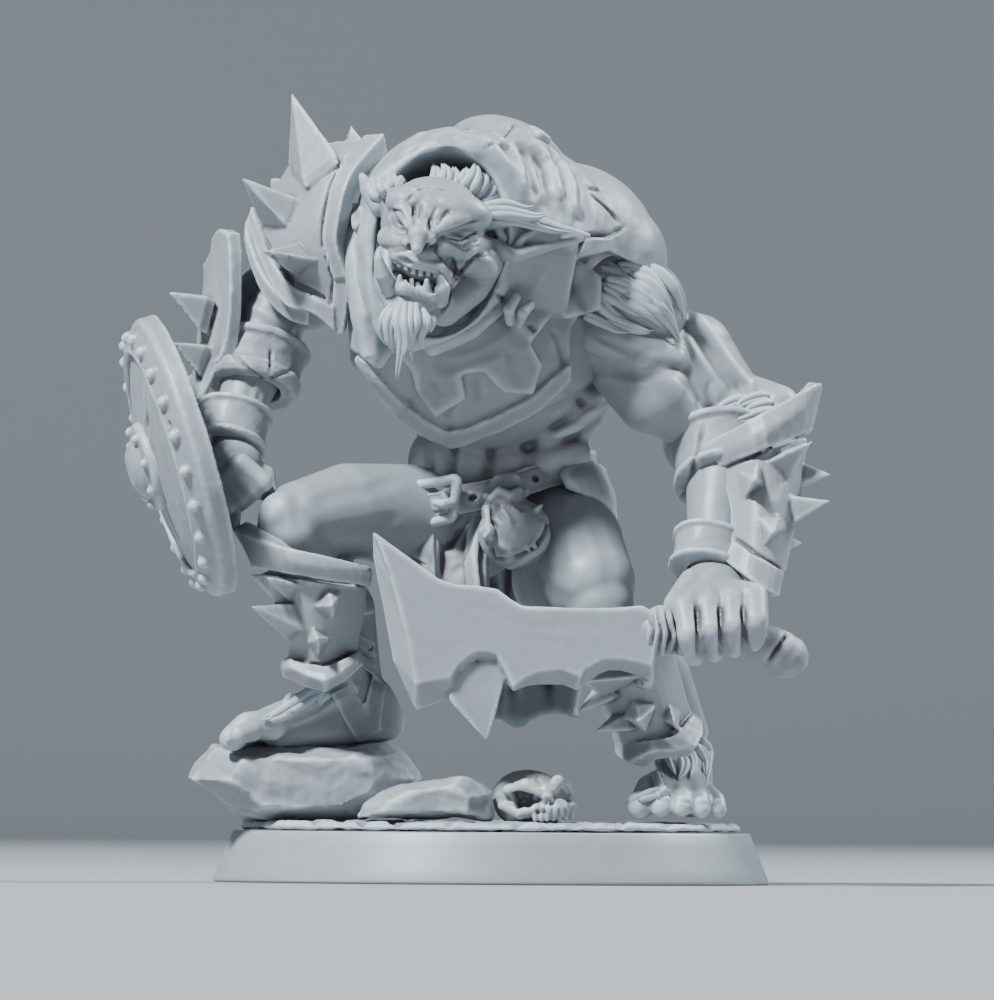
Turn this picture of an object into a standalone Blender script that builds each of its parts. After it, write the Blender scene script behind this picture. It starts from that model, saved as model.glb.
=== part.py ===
"""Crouching tusked ogre for a tabletop game, on its round base, as the castings that it is glued up from.

The model is in metres, +Z up. Its origin is the centre of the base's underside, and it faces -Y.
Left and right are the ogre's own. The castings are modelled in millimetres, with the top of the
paving at z = 0, and are scaled and lifted on to the base at the end.
Each casting is trimmed to the ones that it is glued to, which leaves a thin line for the glue.
"""

import math

import bmesh
import bpy
from mathutils import Euler, Matrix, Vector

MM = 0.001

# The base
BASE_DIAMETER = 40.0
BASE_TAPER = 1.4
BASE_HEIGHT = 3.7
BASE_EDGE = 0.35
BASE_SEGMENTS = 72
PAVING_THICKNESS = 0.6
PAVING_INSET = 0.3

# Joints between castings
GLUE_GAP = 0.1
PEG_RADIUS = 0.8
PEG_CLEARANCE = 0.1
PEG_DEPTH = 2.4

# Sculpted gear
PLATE_THICKNESS = 0.6
MANTLE_THICKNESS = 1.2
LEATHER_THICKNESS = 0.8
BELT_THICKNESS = 0.7
BELT_SINK = 0.7
BELT_WIDTH = 2.3
BUCKLE_WIRE = 0.3
BUCKLE_WIDTH = 2.5
TONGUE_RADIUS = 0.22
TONGUE_RISE = 0.1
CLOTH_THICKNESS = 0.6
BLADE_THICKNESS = 1.6
BLADE_BEVEL = 0.35
GRIP_RADIUS = 1.15
BOLSTER_RADIUS = 1.7
BOLSTER_LENGTH = 1.8
POMMEL_RADIUS = 1.6
SHIELD_RADIUS = 10.3
SHIELD_BOARD_THICKNESS = 0.8
SHIELD_RIM_WIDTH = 2.0
SHIELD_RIM_THICKNESS = 0.6
SHIELD_RIM_LIP = 0.5
SHIELD_BOSS_RADIUS = 3.1
SHIELD_BOSS_HEIGHT = 1.7
SHIELD_GRIP_RADIUS = 0.7
SHIELD_GRIP_DEPTH = 2.6
SHIELD_GRIP_LENGTH = 6.4
SHIELD_GRIP_TOP = 0.9
RIVET_RADIUS = 0.45
RIVET_COUNT = 18

# The ogre's skeleton: where its joints are
PELVIS = (0.7, 2, 23.1)
BELLY = (0.2, 0.4, 27.2)
CHEST = (-0.6, -2.5, 34)
HUMP = (0.2, -0.5, 40.7)
NECK = (-3.3, -8, 39.8)
HEAD = (-4.4, -14, 42.4)
JAW = (-5.8, -16, 37.8)
RIGHT_SHOULDER = (-11.5, -3, 40.2)
RIGHT_ELBOW = (-16.3, 2, 37.4)
RIGHT_WRIST = (-18.7, -5.4, 27.2)
RIGHT_FIST = (-18.4, -7, 24.4)
LEFT_SHOULDER = (8, -2, 37.1)
LEFT_ELBOW = (18.2, -0.5, 29.6)
LEFT_WRIST = (15.7, -8.5, 18.4)
LEFT_FIST = (15.6, -11.5, 14.4)
RIGHT_HIP = (-2.1, 1.2, 21)
RIGHT_KNEE = (-14, -8.5, 21.1)
RIGHT_ANKLE = (-9.7, -4, 9.5)
RIGHT_HEEL = (-8.1, -2.2, 7.5)
RIGHT_BALL = (-16, -6.8, 6.8)
LEFT_HIP = (4, 1, 21.6)
LEFT_KNEE = (7.7, -8.5, 16)
LEFT_ANKLE = (14, -1, 5.3)
LEFT_HEEL = (14.3, 0.8, 1.7)
LEFT_BALL = (13.4, -6, 1.6)

UPPER_ARM_RADIUS = 3.5
ELBOW_RADIUS = 2.7
FOREARM_RADIUS = 2.9
WRIST_RADIUS = 1.9
THIGH_RADIUS = 4.1
KNEE_RADIUS = 3.0
CALF_RADIUS = 2.9
ANKLE_RADIUS = 1.8

# How finely the skin is melted together, and how many faces each casting keeps
SKIN_GRAIN = 0.5
FACE_GRAIN = 0.4
TORSO_FACES = 1000
LIMB_FACES = 800
HEAD_FACES = 1300
CLOTH_FACES = 800
SMALL_FACES = 260


# ------------------------------------------------------------------ tools


def clear_scene():
    for obj in list(bpy.data.objects):
        bpy.data.objects.remove(obj)


def paint(name, colour, roughness):
    """A painted resin finish."""
    finish = bpy.data.materials.new(name)
    finish.use_nodes = True
    shader = finish.node_tree.nodes["Principled BSDF"]
    shader.inputs["Base Color"].default_value = (*colour, 1)
    shader.inputs["Roughness"].default_value = roughness
    shader.inputs["Metallic"].default_value = 0
    return finish


def as_object(name, form):
    mesh = bpy.data.meshes.new(name)
    form.to_mesh(mesh)
    form.free()
    obj = bpy.data.objects.new(name, mesh)
    bpy.context.scene.collection.objects.link(obj)
    return obj


def apply_modifiers(obj):
    graph = bpy.context.evaluated_depsgraph_get()
    mesh = bpy.data.meshes.new_from_object(obj.evaluated_get(graph))
    obj.modifiers.clear()
    obj.data = mesh


def keep_largest_piece(obj):
    """Drops the crumbs that a trim can leave beside the casting."""
    form = bmesh.new()
    form.from_mesh(obj.data)
    pieces = []
    waiting = set(form.verts)
    while waiting:
        reached = [waiting.pop()]
        piece = set(reached)
        while reached:
            for edge in reached.pop().link_edges:
                for vert in edge.verts:
                    if vert in waiting:
                        waiting.remove(vert)
                        piece.add(vert)
                        reached.append(vert)
        pieces.append(piece)
    pieces.sort(key=len)
    for piece in pieces[:-1]:
        bmesh.ops.delete(form, geom=list(piece), context="VERTS")
    form.to_mesh(obj.data)
    form.free()


def combine(obj, other, operation):
    """A Boolean of two closed meshes, applied. The other object is removed."""
    boolean = obj.modifiers.new(operation.lower(), "BOOLEAN")
    boolean.operation = operation
    boolean.solver = "EXACT"
    boolean.use_self = True
    boolean.object = other
    apply_modifiers(obj)
    bpy.data.objects.remove(other)
    keep_largest_piece(obj)


def swollen_copy(obj, gap):
    """A copy of the object, pushed out along its normals by the gap."""
    form = bmesh.new()
    form.from_mesh(obj.data)
    bmesh.ops.triangulate(form, faces=form.faces)
    form.normal_update()
    places = [vert.co + vert.normal * gap * min(vert.calc_shell_factor(), 2) for vert in form.verts]
    for vert, place in zip(form.verts, places):
        vert.co = place
    return as_object(obj.name + "_cutter", form)


def boxes_meet(obj, other):
    """Whether the two bounding boxes come within the glue gap of each other."""
    spans = []
    for each in (obj, other):
        places = [vert.co for vert in each.data.vertices]
        spans.append([(min(p[k] for p in places), max(p[k] for p in places)) for k in range(3)])
    return all(a[0] < b[1] + GLUE_GAP and b[0] < a[1] + GLUE_GAP for a, b in zip(*spans))


def trim_to(obj, others, gap=GLUE_GAP):
    """Cuts each of the others out of the casting, with the glue line left free."""
    for other in others:
        if boxes_meet(obj, other):
            combine(obj, swollen_copy(other, gap), "DIFFERENCE")


def ball(form, centre, size, turn=(0, 0, 0), segments=16):
    """An ellipsoid of the given half-sizes, turned by degrees about X, Y and Z."""
    turned = Euler([math.radians(angle) for angle in turn]).to_matrix().to_4x4()
    place = Matrix.Translation(centre) @ turned @ Matrix.Diagonal((*size, 1))
    bmesh.ops.create_uvsphere(form, u_segments=segments, v_segments=segments // 2, radius=1, matrix=place)


def bone_frame(start, end, facing):
    """Z runs from start to end, and X points the way that the limb's outer side faces."""
    along = (Vector(end) - Vector(start)).normalized()
    side = along.cross(Vector(facing)).normalized()
    outward = side.cross(along)
    turned = Matrix((outward, side, along)).transposed().to_4x4()
    return Matrix.Translation(start) @ turned


ANY_SIDE = (0.31, -1, 0.17)


def limb(form, start, end, start_radius, end_radius, segments=14):
    """A tapered limb with round ends."""
    length = (Vector(end) - Vector(start)).length
    middle = bone_frame(start, end, ANY_SIDE) @ Matrix.Translation((0, 0, length / 2))
    bmesh.ops.create_cone(
        form, cap_ends=True, segments=segments, depth=length,
        radius1=start_radius, radius2=end_radius, matrix=middle,
    )
    ball(form, start, (start_radius,) * 3, segments=segments)
    ball(form, end, (end_radius,) * 3, segments=segments)


def chain(form, places, radii):
    """Limbs from each place to the next."""
    for k in range(len(places) - 1):
        limb(form, places[k], places[k + 1], radii[k], radii[k + 1])


def join_with_peg(casting, holders, start, end):
    """Adds a peg to the casting and drills its socket in what holds it."""
    reach = Vector(end) - Vector(start)
    socket_end = Vector(end) + reach.normalized() * PEG_CLEARANCE
    for holder in holders:
        combine(holder, cylinder("socket", start, socket_end, PEG_RADIUS + PEG_CLEARANCE), "DIFFERENCE")
    combine(casting, cylinder("peg", start, end, PEG_RADIUS), "UNION")


def cylinder(name, start, end, radius, end_radius=None, segments=12):
    form = bmesh.new()
    length = (Vector(end) - Vector(start)).length
    middle = bone_frame(start, end, ANY_SIDE) @ Matrix.Translation((0, 0, length / 2))
    bmesh.ops.create_cone(
        form, cap_ends=True, segments=segments, depth=length, radius1=radius,
        radius2=radius if end_radius is None else end_radius, matrix=middle,
    )
    return as_object(name, form)


def fused(name, form, faces, grain=SKIN_GRAIN, smoothing=3):
    """Melts overlapping balls and limbs into one skin with about that many faces."""
    obj = as_object(name, form)
    melt = obj.modifiers.new("melt", "REMESH")
    melt.mode = "VOXEL"
    melt.voxel_size = grain
    soften = obj.modifiers.new("soften", "SMOOTH")
    soften.iterations = smoothing
    apply_modifiers(obj)
    thin = obj.modifiers.new("thin", "DECIMATE")
    thin.ratio = min(1, faces / (2 * len(obj.data.polygons)))
    apply_modifiers(obj)
    keep_largest_piece(obj)
    return obj


def thickened(obj, thickness):
    """Gives an open sheet its thickness, on its outer side."""
    wall = obj.modifiers.new("wall", "SOLIDIFY")
    wall.thickness = thickness
    wall.offset = 1
    apply_modifiers(obj)
    return obj


def wrapped_plate(
    name, start, end, facing, rows, ridge=0.35, slant=0, columns=6, thickness=PLATE_THICKNESS
):
    """A plate bowed round a limb. Each row is its place along the limb, its half angle and its radius."""
    form = bmesh.new()
    bmesh.ops.create_grid(form, x_segments=columns, y_segments=len(rows) - 1, size=1)
    frame = bone_frame(start, end, facing)
    for vert in form.verts:
        row = rows[round((vert.co.y + 1) / 2 * (len(rows) - 1))]
        place, half_angle, radius = row
        angle = math.radians(half_angle) * vert.co.x
        reach = radius + ridge * (1 - abs(vert.co.x))
        along = place + slant * vert.co.x
        vert.co = frame @ Vector((reach * math.cos(angle), reach * math.sin(angle), along))
    bmesh.ops.recalc_face_normals(form, faces=form.faces)
    middle = frame @ Vector((0, 0, rows[len(rows) // 2][0]))
    face = max(form.faces, key=lambda f: f.calc_area())
    if face.normal.dot(face.calc_center_median() - middle) < 0:
        bmesh.ops.reverse_faces(form, faces=form.faces)
    return thickened(as_object(name, form), thickness)


def add_spikes(obj, spikes):
    """Each spike is the middle of its foot, its tip and its radius."""
    for foot, tip, radius in spikes:
        combine(obj, cylinder("spike", foot, tip, radius, end_radius=0, segments=4), "UNION")


def band(name, start, end, first, last, limb_radius, outer_radius):
    """A ring that sits tight on a limb, between two places along it."""
    form = bmesh.new()
    frame = bone_frame(start, end, ANY_SIDE)
    middle = frame @ Matrix.Translation((0, 0, (first + last) / 2))
    inner_radius = limb_radius * 0.8
    bmesh.ops.create_cone(
        form, cap_ends=False, segments=24, depth=last - first,
        radius1=inner_radius, radius2=inner_radius, matrix=middle,
    )
    return thickened(as_object(name, form), outer_radius - inner_radius)


def turned(name, profile, segments):
    """A profile in X and Z, turned round the Z axis. It runs from the top to the bottom."""
    form = bmesh.new()
    verts = [form.verts.new((x, 0, z)) for x, z in profile]
    for first, second in zip(verts, verts[1:]):
        form.edges.new((first, second))
    obj = as_object(name, form)
    screw = obj.modifiers.new("turn", "SCREW")
    screw.steps = segments
    screw.render_steps = segments
    screw.use_merge_vertices = True
    screw.merge_threshold = 0.0001
    apply_modifiers(obj)
    return obj


def flat_outline(name, points, thickness, bevel=0):
    """An outline in X and Z, extruded along Y about y = 0."""
    curve = bpy.data.curves.new(name, "CURVE")
    curve.dimensions = "2D"
    curve.fill_mode = "BOTH"
    curve.extrude = thickness / 2 - bevel
    curve.bevel_depth = bevel
    curve.bevel_resolution = 0
    curve.offset = -bevel
    line = curve.splines.new("POLY")
    line.points.add(len(points) - 1)
    for point, (x, z) in zip(line.points, points):
        point.co = (x, z, 0, 1)
    line.use_cyclic_u = True
    return meshed(name, curve, Matrix.Rotation(math.pi / 2, 4, "X"))


def wire_loop(name, points, radius, cyclic=True):
    curve = bpy.data.curves.new(name, "CURVE")
    curve.dimensions = "3D"
    curve.bevel_depth = radius
    curve.bevel_resolution = 2
    curve.use_fill_caps = True
    line = curve.splines.new("POLY")
    line.points.add(len(points) - 1)
    for point, place in zip(line.points, points):
        point.co = (*place, 1)
    line.use_cyclic_u = cyclic
    return meshed(name, curve, Matrix.Identity(4))


def meshed(name, curve, place):
    """Turns a curve into a closed mesh."""
    source = bpy.data.objects.new(name + "_curve", curve)
    bpy.context.scene.collection.objects.link(source)
    graph = bpy.context.evaluated_depsgraph_get()
    mesh = bpy.data.meshes.new_from_object(source.evaluated_get(graph))
    bpy.data.objects.remove(source)
    form = bmesh.new()
    form.from_mesh(mesh)
    bmesh.ops.remove_doubles(form, verts=form.verts, dist=0.001)
    bmesh.ops.transform(form, matrix=place, verts=form.verts)
    bmesh.ops.recalc_face_normals(form, faces=form.faces)
    return as_object(name, form)


def boulder(name, corners):
    form = bmesh.new()
    for corner in corners:
        form.verts.new(corner)
    hull = bmesh.ops.convex_hull(form, input=form.verts)
    loose = [v for v in hull["geom_unused"] + hull["geom_interior"] if isinstance(v, bmesh.types.BMVert)]
    bmesh.ops.delete(form, geom=list(set(loose)), context="VERTS")
    bmesh.ops.recalc_face_normals(form, faces=form.faces)
    return as_object(name, form)


def cut_below(obj, point, normal):
    """Cuts away what lies on the far side of a plane."""
    form = bmesh.new()
    size = 60
    outside = bone_frame(point, Vector(point) - Vector(normal), ANY_SIDE)
    place = outside @ Matrix.Translation((0, 0, size / 2))
    bmesh.ops.create_cube(form, size=size, matrix=place)
    combine(obj, as_object("cutter", form), "DIFFERENCE")


# ------------------------------------------------------------------ base


def make_base_plinth():
    radius = BASE_DIAMETER / 2
    top_radius = radius - BASE_TAPER
    top = -PAVING_THICKNESS - GLUE_GAP
    profile = [
        (0, top),
        (top_radius - BASE_EDGE, top),
        (top_radius, top - BASE_EDGE),
        (radius, top - BASE_HEIGHT + BASE_EDGE),
        (radius - BASE_EDGE / 2, top - BASE_HEIGHT),
        (0, top - BASE_HEIGHT),
    ]
    return turned("base_plinth", profile, BASE_SEGMENTS)


def make_paving_slab():
    radius = BASE_DIAMETER / 2 - BASE_TAPER - BASE_EDGE - PAVING_INSET
    form = bmesh.new()
    bmesh.ops.create_cone(
        form, cap_ends=True, segments=48, depth=PAVING_THICKNESS, radius1=radius, radius2=radius - 0.3,
        matrix=Matrix.Translation((0, 0, -PAVING_THICKNESS / 2)),
    )
    for vert in form.verts:
        around = math.atan2(vert.co.y, vert.co.x)
        worn = 1 - 0.012 * (1 + math.sin(7 * around)) - 0.01 * (1 + math.sin(16 * around + 1))
        vert.co.x *= worn
        vert.co.y *= worn
    return as_object("paving_slab", form)


BIG_ROCK = [
    (-21.7, -4, 3), (-21, -1, 4.7), (-19.3, -2, -0.1), (-16.4, -8, 0), (-18.9, -9, 3.9),
    (-17.7, -6, 5.3), (-13.7, -9.5, 5), (-10.5, -8.5, -0.3), (-8.5, -6, -0.3), (-5.1, -5, 3.4),
    (-5.9, -2, 5.8), (-10.8, 2, 5.6), (-18.4, 1.5, 5.5), (-16.9, 4, -0.3), (-8, 4, -0.3),
    (-5.2, 1, 1.6), (-6.9, 2.5, 5.2), (-13.7, 6, -0.3),
]
SMALL_ROCK = [
    (-9.6, -11, 0.4), (-8.2, -12, 1.6), (-5.1, -12, 2.8), (-1.5, -11, 3.2), (0.1, -12, 1.9),
    (0.3, -11, 0.3), (-3.6, -14.5, -0.3), (-8.3, -13.5, -0.3), (-6.9, -8.5, 2.3), (-1.5, -8, 2.9),
    (-0.2, -7.5, -0.3), (-6.5, -7.5, -0.3),
]


def make_ground_skull():
    form = bmesh.new()
    ball(form, (2.7, -9.6, 1.9), (2.4, 2.8, 1.75), turn=(0, 0, 30))
    ball(form, (4.1, -11.6, 1.2), (1.5, 1.4, 1.2))
    limb(form, (1.4, -11.8, 2.3), (5.3, -10.8, 2.6), 0.55, 0.5)
    skull = fused("ground_skull", form, SMALL_FACES * 2, grain=0.35, smoothing=2)
    for socket in ((2.6, -13.2, 1.7), (4.8, -12.4, 1.8)):
        form = bmesh.new()
        ball(form, socket, (0.8, 1.1, 0.65), segments=12)
        combine(skull, as_object("socket", form), "DIFFERENCE")
    return skull


# ------------------------------------------------------------------ the ogre's body


def make_torso():
    form = bmesh.new()
    ball(form, PELVIS, (6.4, 4.8, 4.4))
    ball(form, (-1.8, 4, 21.8), (3.4, 3.0, 3.4))
    ball(form, (3, 4, 21.8), (3.4, 3.0, 3.4))
    ball(form, BELLY, (6.0, 4.4, 5.2))
    ball(form, CHEST, (8.4, 6.4, 7.6))
    ball(form, HUMP, (9.6, 6.8, 6.6))
    ball(form, (-6.5, -5.5, 35.3), (4, 3, 3.2))
    ball(form, (2.8, -5, 34.3), (4.2, 3.2, 3.6))
    limb(form, (-0.8, -4, 38.2), NECK, 5.0, 3.6)
    ball(form, (6.8, -1.5, 38.2), (4.4, 4.2, 4.2))
    ball(form, (-10.1, -3, 40.2), (4.2, 4.2, 4.2))
    return fused("torso", form, TORSO_FACES)


def make_leg(name, hip, knee, ankle, heel, toe_ball, toes, toe_radius):
    form = bmesh.new()
    thigh_middle = Vector(hip).lerp(Vector(knee), 0.45)
    chain(form, [hip, thigh_middle, knee], [THIGH_RADIUS - 0.6, THIGH_RADIUS, KNEE_RADIUS])
    calf = Vector(knee).lerp(Vector(ankle), 0.3)
    chain(form, [knee, calf, ankle, heel], [KNEE_RADIUS, CALF_RADIUS, ANKLE_RADIUS, ANKLE_RADIUS - 0.1])
    limb(form, heel, toe_ball, ANKLE_RADIUS - 0.1, ANKLE_RADIUS)
    limb(form, ankle, toe_ball, ANKLE_RADIUS, ANKLE_RADIUS - 0.4)
    for toe in toes:
        limb(form, toe_ball, toe, ANKLE_RADIUS - 0.5, toe_radius, segments=10)
    return fused(name, form, LIMB_FACES, smoothing=2)


def make_right_leg():
    toes = [(-18, -8.6, 5.9), (-18.5, -7, 5.8), (-18.3, -5.6, 5.8), (-17.8, -4.4, 5.8)]
    return make_leg("right_leg", RIGHT_HIP, RIGHT_KNEE, RIGHT_ANKLE, RIGHT_HEEL, RIGHT_BALL, toes, 0.9)


def make_left_leg():
    toes = [(10.6, -8, 1), (12.2, -9, 0.9), (13.6, -9.2, 0.9), (15, -8.9, 0.9), (16.3, -8.2, 0.9)]
    return make_leg("left_leg", LEFT_HIP, LEFT_KNEE, LEFT_ANKLE, LEFT_HEEL, LEFT_BALL, toes, 0.85)


def make_head():
    form = bmesh.new()
    ball(form, HEAD, (3.6, 4.2, 3.9), turn=(0, 14, 0))
    limb(form, (-7.5, -17, 43.1), (-2.1, -16.8, 41.8), 1.0, 1.0)
    limb(form, (-5.4, -17.8, 42.8), (-5.8, -18.9, 40.7), 0.8, 1.05)
    ball(form, (-5.4, -15.8, 39.5), (2.7, 2.5, 2.4))
    ball(form, JAW, (2.5, 2.6, 2.0))
    limb(form, (-8, -17.6, 37.2), (-8.2, -18.6, 39.4), 0.55, 0.3)
    limb(form, (-4.1, -17.2, 36.6), (-4.2, -18.2, 38.4), 0.55, 0.3)
    chain(form, [(-6.2, -17, 36.3), (-6.4, -17.6, 34.3), (-6.9, -17.6, 31.3)], [1.7, 1.4, 0.45])
    chain(form, [(-0.9, -12.5, 41.8), (3.5, -12, 41.8), (7.8, -11, 41.8)], [1.3, 1.1, 0.3])
    chain(form, [(-8.4, -12.5, 42.5), (-10, -11.5, 44.8)], [1.2, 0.4])
    ball(form, (-2.4, -12, 45.4), (3.0, 2.4, 1.8))
    limb(form, (-3.6, -12, 40.2), NECK, 3.3, 3.2)
    return fused("head", form, HEAD_FACES, grain=FACE_GRAIN, smoothing=2)


def make_arm(shoulder, elbow, wrist, muscles):
    form = bmesh.new()
    limb(form, shoulder, elbow, UPPER_ARM_RADIUS, ELBOW_RADIUS)
    belly = Vector(elbow).lerp(Vector(wrist), 0.3)
    chain(form, [elbow, belly, wrist], [ELBOW_RADIUS, FOREARM_RADIUS, WRIST_RADIUS])
    for centre, size in muscles:
        ball(form, centre, size)
    return form


def make_right_arm():
    muscles = [((-12.3, -3, 41.1), (3.9, 4.0, 4.0))]
    form = make_arm(RIGHT_SHOULDER, RIGHT_ELBOW, RIGHT_WRIST, muscles)
    limb(form, RIGHT_WRIST, RIGHT_FIST, WRIST_RADIUS, 2.3)
    limb(form, (-18.9, -8.2, 23.7), (-16.4, -8.2, 23.1), 1.7, 1.0)
    limb(form, (-19, -7, 23.1), (-18.7, -6, 22.3), 1.7, 1.4)
    return fused("right_arm", form, LIMB_FACES)


def make_left_arm():
    muscles = [
        ((9.9, -3, 36.2), (4.3, 4.0, 4.3)),
        ((12.2, -3, 31.4), (3.0, 2.9, 3.0)),
        ((15.4, 0.5, 33), (3.3, 3.2, 2.9)),
    ]
    form = make_arm(LEFT_SHOULDER, LEFT_ELBOW, LEFT_WRIST, muscles)
    limb(form, LEFT_WRIST, LEFT_FIST, WRIST_RADIUS, 2.6)
    for k in range(4):
        knuckle = Vector((13.7, -13, 14.9)).lerp(Vector((17.9, -12.4, 16)), k / 3)
        tip = Vector((14.2, -13.4, 12.2)).lerp(Vector((17.8, -12.8, 13.1)), k / 3)
        limb(form, knuckle, tip, 1.25, 1.1, segments=10)
    limb(form, (13.9, -11.5, 16), (12.7, -12.6, 14.2), 1.2, 0.9)
    return fused("left_arm", form, LIMB_FACES + 200, grain=FACE_GRAIN)


# ------------------------------------------------------------------ cloth, leather and armour


def make_shoulder_mantle():
    form = bmesh.new()
    wall = MANTLE_THICKNESS
    ball(form, HUMP, (9.6 + wall, 6.8 + wall, 6.6 + 1.6 * wall))
    ball(form, (-1.5, -4, 37.5), (9.0, 6.0, 5.0))
    ball(form, (6.4, -2.4, 40.5), (5.6, 5.4, 4.6), turn=(0, 25, 0))
    collar = [
        (-9, -12, 46.1), (-5.1, -11, 48.1), (-0.6, -9.5, 47), (2.1, -9.5, 43.1), (2.4, -10.2, 38.8),
        (-0.1, -11, 35.5), (-3.6, -12, 34.3), (-7.6, -13.4, 34.3), (-9.7, -13.6, 37.5), (-10.1, -13, 42.2),
    ]
    chain(form, collar + collar[:1], [1.7] * (len(collar) + 1))
    chain(form, [(-3.6, -10, 48.1), (-0.8, -4, 47.7), (0.7, 1, 46.8)], [2.0, 2.6, 3.0])
    chain(form, [(2.4, -9.2, 38.8), (5, -6.5, 38.2), (6.8, -4, 39.6)], [2.0, 2.4, 2.2])
    mantle = fused("shoulder_mantle", form, CLOTH_FACES + 400)
    cut_below(mantle, (-0.8, -8, 33.8), (0.10, -0.25, 1))
    return mantle


def make_breast_leather():
    form = bmesh.new()
    wall = LEATHER_THICKNESS
    ball(form, CHEST, (8.4 + wall, 6.4 + wall, 7.6 + wall))
    ball(form, (-6.5, -5.5, 35), (4 + wall, 3 + wall, 3.6 + wall))
    ball(form, (2.8, -5, 34.3), (4.2 + wall, 3.2 + wall, 4.0 + wall))
    ball(form, (-2.6, -5, 30), (5.6, 3.6, 4.0))
    leather = fused("breast_leather", form, CLOTH_FACES)
    cut_below(leather, (-4.4, -8, 27.4), (-0.12, 0.20, 1))
    return leather


def make_shoulder_guard():
    """A bowl of steel plate on the shoulder, open towards the neck and below."""
    centre = (-12.1, -3, 42.1)
    radius = 5.3
    form = bmesh.new()
    outward = bone_frame(centre, Vector(centre) + Vector((-0.95, -0.16, 0.26)), (0, 0, 1))
    bmesh.ops.create_uvsphere(form, u_segments=20, v_segments=12, radius=1)
    bmesh.ops.bisect_plane(
        form, geom=form.verts[:] + form.edges[:] + form.faces[:], plane_co=(0, 0, -0.28),
        plane_no=(0, 0, -1), clear_outer=True,
    )
    stretched = Matrix.Diagonal((radius * 1.25, radius * 1.05, radius, 1))
    bmesh.ops.transform(form, matrix=outward @ stretched, verts=form.verts)
    bmesh.ops.bisect_plane(
        form, geom=form.verts[:] + form.edges[:] + form.faces[:], plane_co=(-13.7, -3, 35.9),
        plane_no=(-0.35, 0, -1), clear_outer=True,
    )
    guard = thickened(as_object("shoulder_guard", form), PLATE_THICKNESS)
    add_spikes(guard, [
        ((-12.6, -3.6, 47.5), (-14.6, -4, 52), 1.75),
        ((-14, -5.6, 43.8), (-18.1, -6.6, 45.8), 1.35),
        ((-13.7, -7.4, 39.8), (-16.5, -9.4, 40.4), 1.3),
        ((-10.7, -1.2, 47.5), (-10.4, -1.4, 50.2), 1.1),
        ((-14.4, 0.4, 45.4), (-16.4, 2.6, 47.5), 1.2),
    ])
    return guard


def make_shoulder_guard_lame():
    rows = [(1.2, 70, 4.9), (3.2, 68, 4.7), (5.4, 60, 4.4)]
    return wrapped_plate("shoulder_guard_lame", (-12.1, -3, 40.7), RIGHT_ELBOW, (-1, -0.45, 0.3), rows)


def make_right_vambrace():
    rows = [(-4.2, 26, 3.9), (-2.0, 42, 3.5), (1.0, 50, 3.3), (4.4, 50, 3.2), (6.4, 40, 3.1)]
    plate = wrapped_plate("right_vambrace", RIGHT_ELBOW, RIGHT_WRIST, (-1, -0.35, 0), rows)
    add_spikes(plate, [
        ((-19.6, -1, 37.4), (-23.4, -2.2, 37.8), 1.3),
        ((-19.9, -2.6, 34.2), (-23, -4, 34), 1.2),
    ])
    return plate


def make_left_vambrace():
    rows = [
        (0.4, 60, 4.6), (3.0, 54, 4.0), (6.4, 50, 3.5),
        (10.4, 52, 3.0), (12.6, 50, 2.7), (15.2, 24, 3.0),
    ]
    plate = wrapped_plate("left_vambrace", LEFT_ELBOW, LEFT_WRIST, (0.75, -0.66, 0.1), rows, slant=1.6)
    add_spikes(plate, [
        ((18.8, -7, 24.7), (18.2, -9.6, 24.7), 1.1),
        ((20.2, -9, 21.1), (20.2, -11.6, 20.7), 1.1),
        ((21.1, -5.4, 25.9), (22.8, -6.6, 27.3), 1.0),
        ((21.6, -4.4, 24.4), (24.1, -4.6, 24.9), 1.0),
        ((21.1, -5.4, 22.6), (24.1, -6.4, 23.1), 1.0),
        ((20.6, -7.4, 19.9), (22.2, -8.4, 20), 0.8),
    ])
    return plate


def make_right_greave():
    rows = [(0.2, 78, 4.5), (2.0, 76, 3.9), (5.4, 76, 3.1), (8.8, 72, 2.6), (11.4, 24, 2.8)]
    plate = wrapped_plate("right_greave", RIGHT_KNEE, RIGHT_ANKLE, (-0.3, -1, 0.1), rows)
    add_spikes(plate, [
        ((-12.1, -10.4, 15.5), (-12.1, -12.8, 15.4), 1.1),
        ((-12.3, -8.8, 12.7), (-12.6, -11.4, 12.4), 1.1),
        ((-14.3, -9.8, 16.4), (-16.1, -12.2, 17), 1.2),
        ((-14.1, -8.6, 14.2), (-17.1, -11, 14.9), 1.2),
        ((-14.9, -8.2, 17), (-17.3, -8.2, 17.4), 1.0),
    ])
    return plate


def make_left_greave():
    rows = [(1.0, 70, 4.0), (3.4, 70, 3.3), (7.4, 66, 2.8), (10.4, 66, 2.5), (12.4, 26, 2.5)]
    plate = wrapped_plate("left_greave", LEFT_KNEE, LEFT_ANKLE, (-0.35, -1, -0.35), rows)
    add_spikes(plate, [
        ((9.1, -7.8, 10.2), (7.1, -10.4, 8.5), 1.1),
        ((10.7, -6.8, 9.1), (10.3, -9.8, 7.2), 1.1),
        ((12.4, -6.4, 9.2), (13.3, -9.2, 7.6), 1.1),
        ((9, -5.6, 8.3), (7.3, -7.8, 6.8), 1.0),
    ])
    return plate


# ------------------------------------------------------------------ belt and what hangs from it

BELT_CENTRE = (0.2, 1.8, 23.6)
BELT_TILT = -9.0


def make_belt():
    form = bmesh.new()
    bmesh.ops.create_cone(
        form, cap_ends=False, segments=40, depth=BELT_WIDTH, radius1=1, radius2=1,
        matrix=Matrix.Translation(BELT_CENTRE)
        @ Matrix.Rotation(math.radians(BELT_TILT), 4, "Y")
        @ Matrix.Diagonal((6.2, 4.6, 1, 1)),
    )
    return thickened(as_object("belt", form), BELT_THICKNESS + BELT_SINK)


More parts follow.
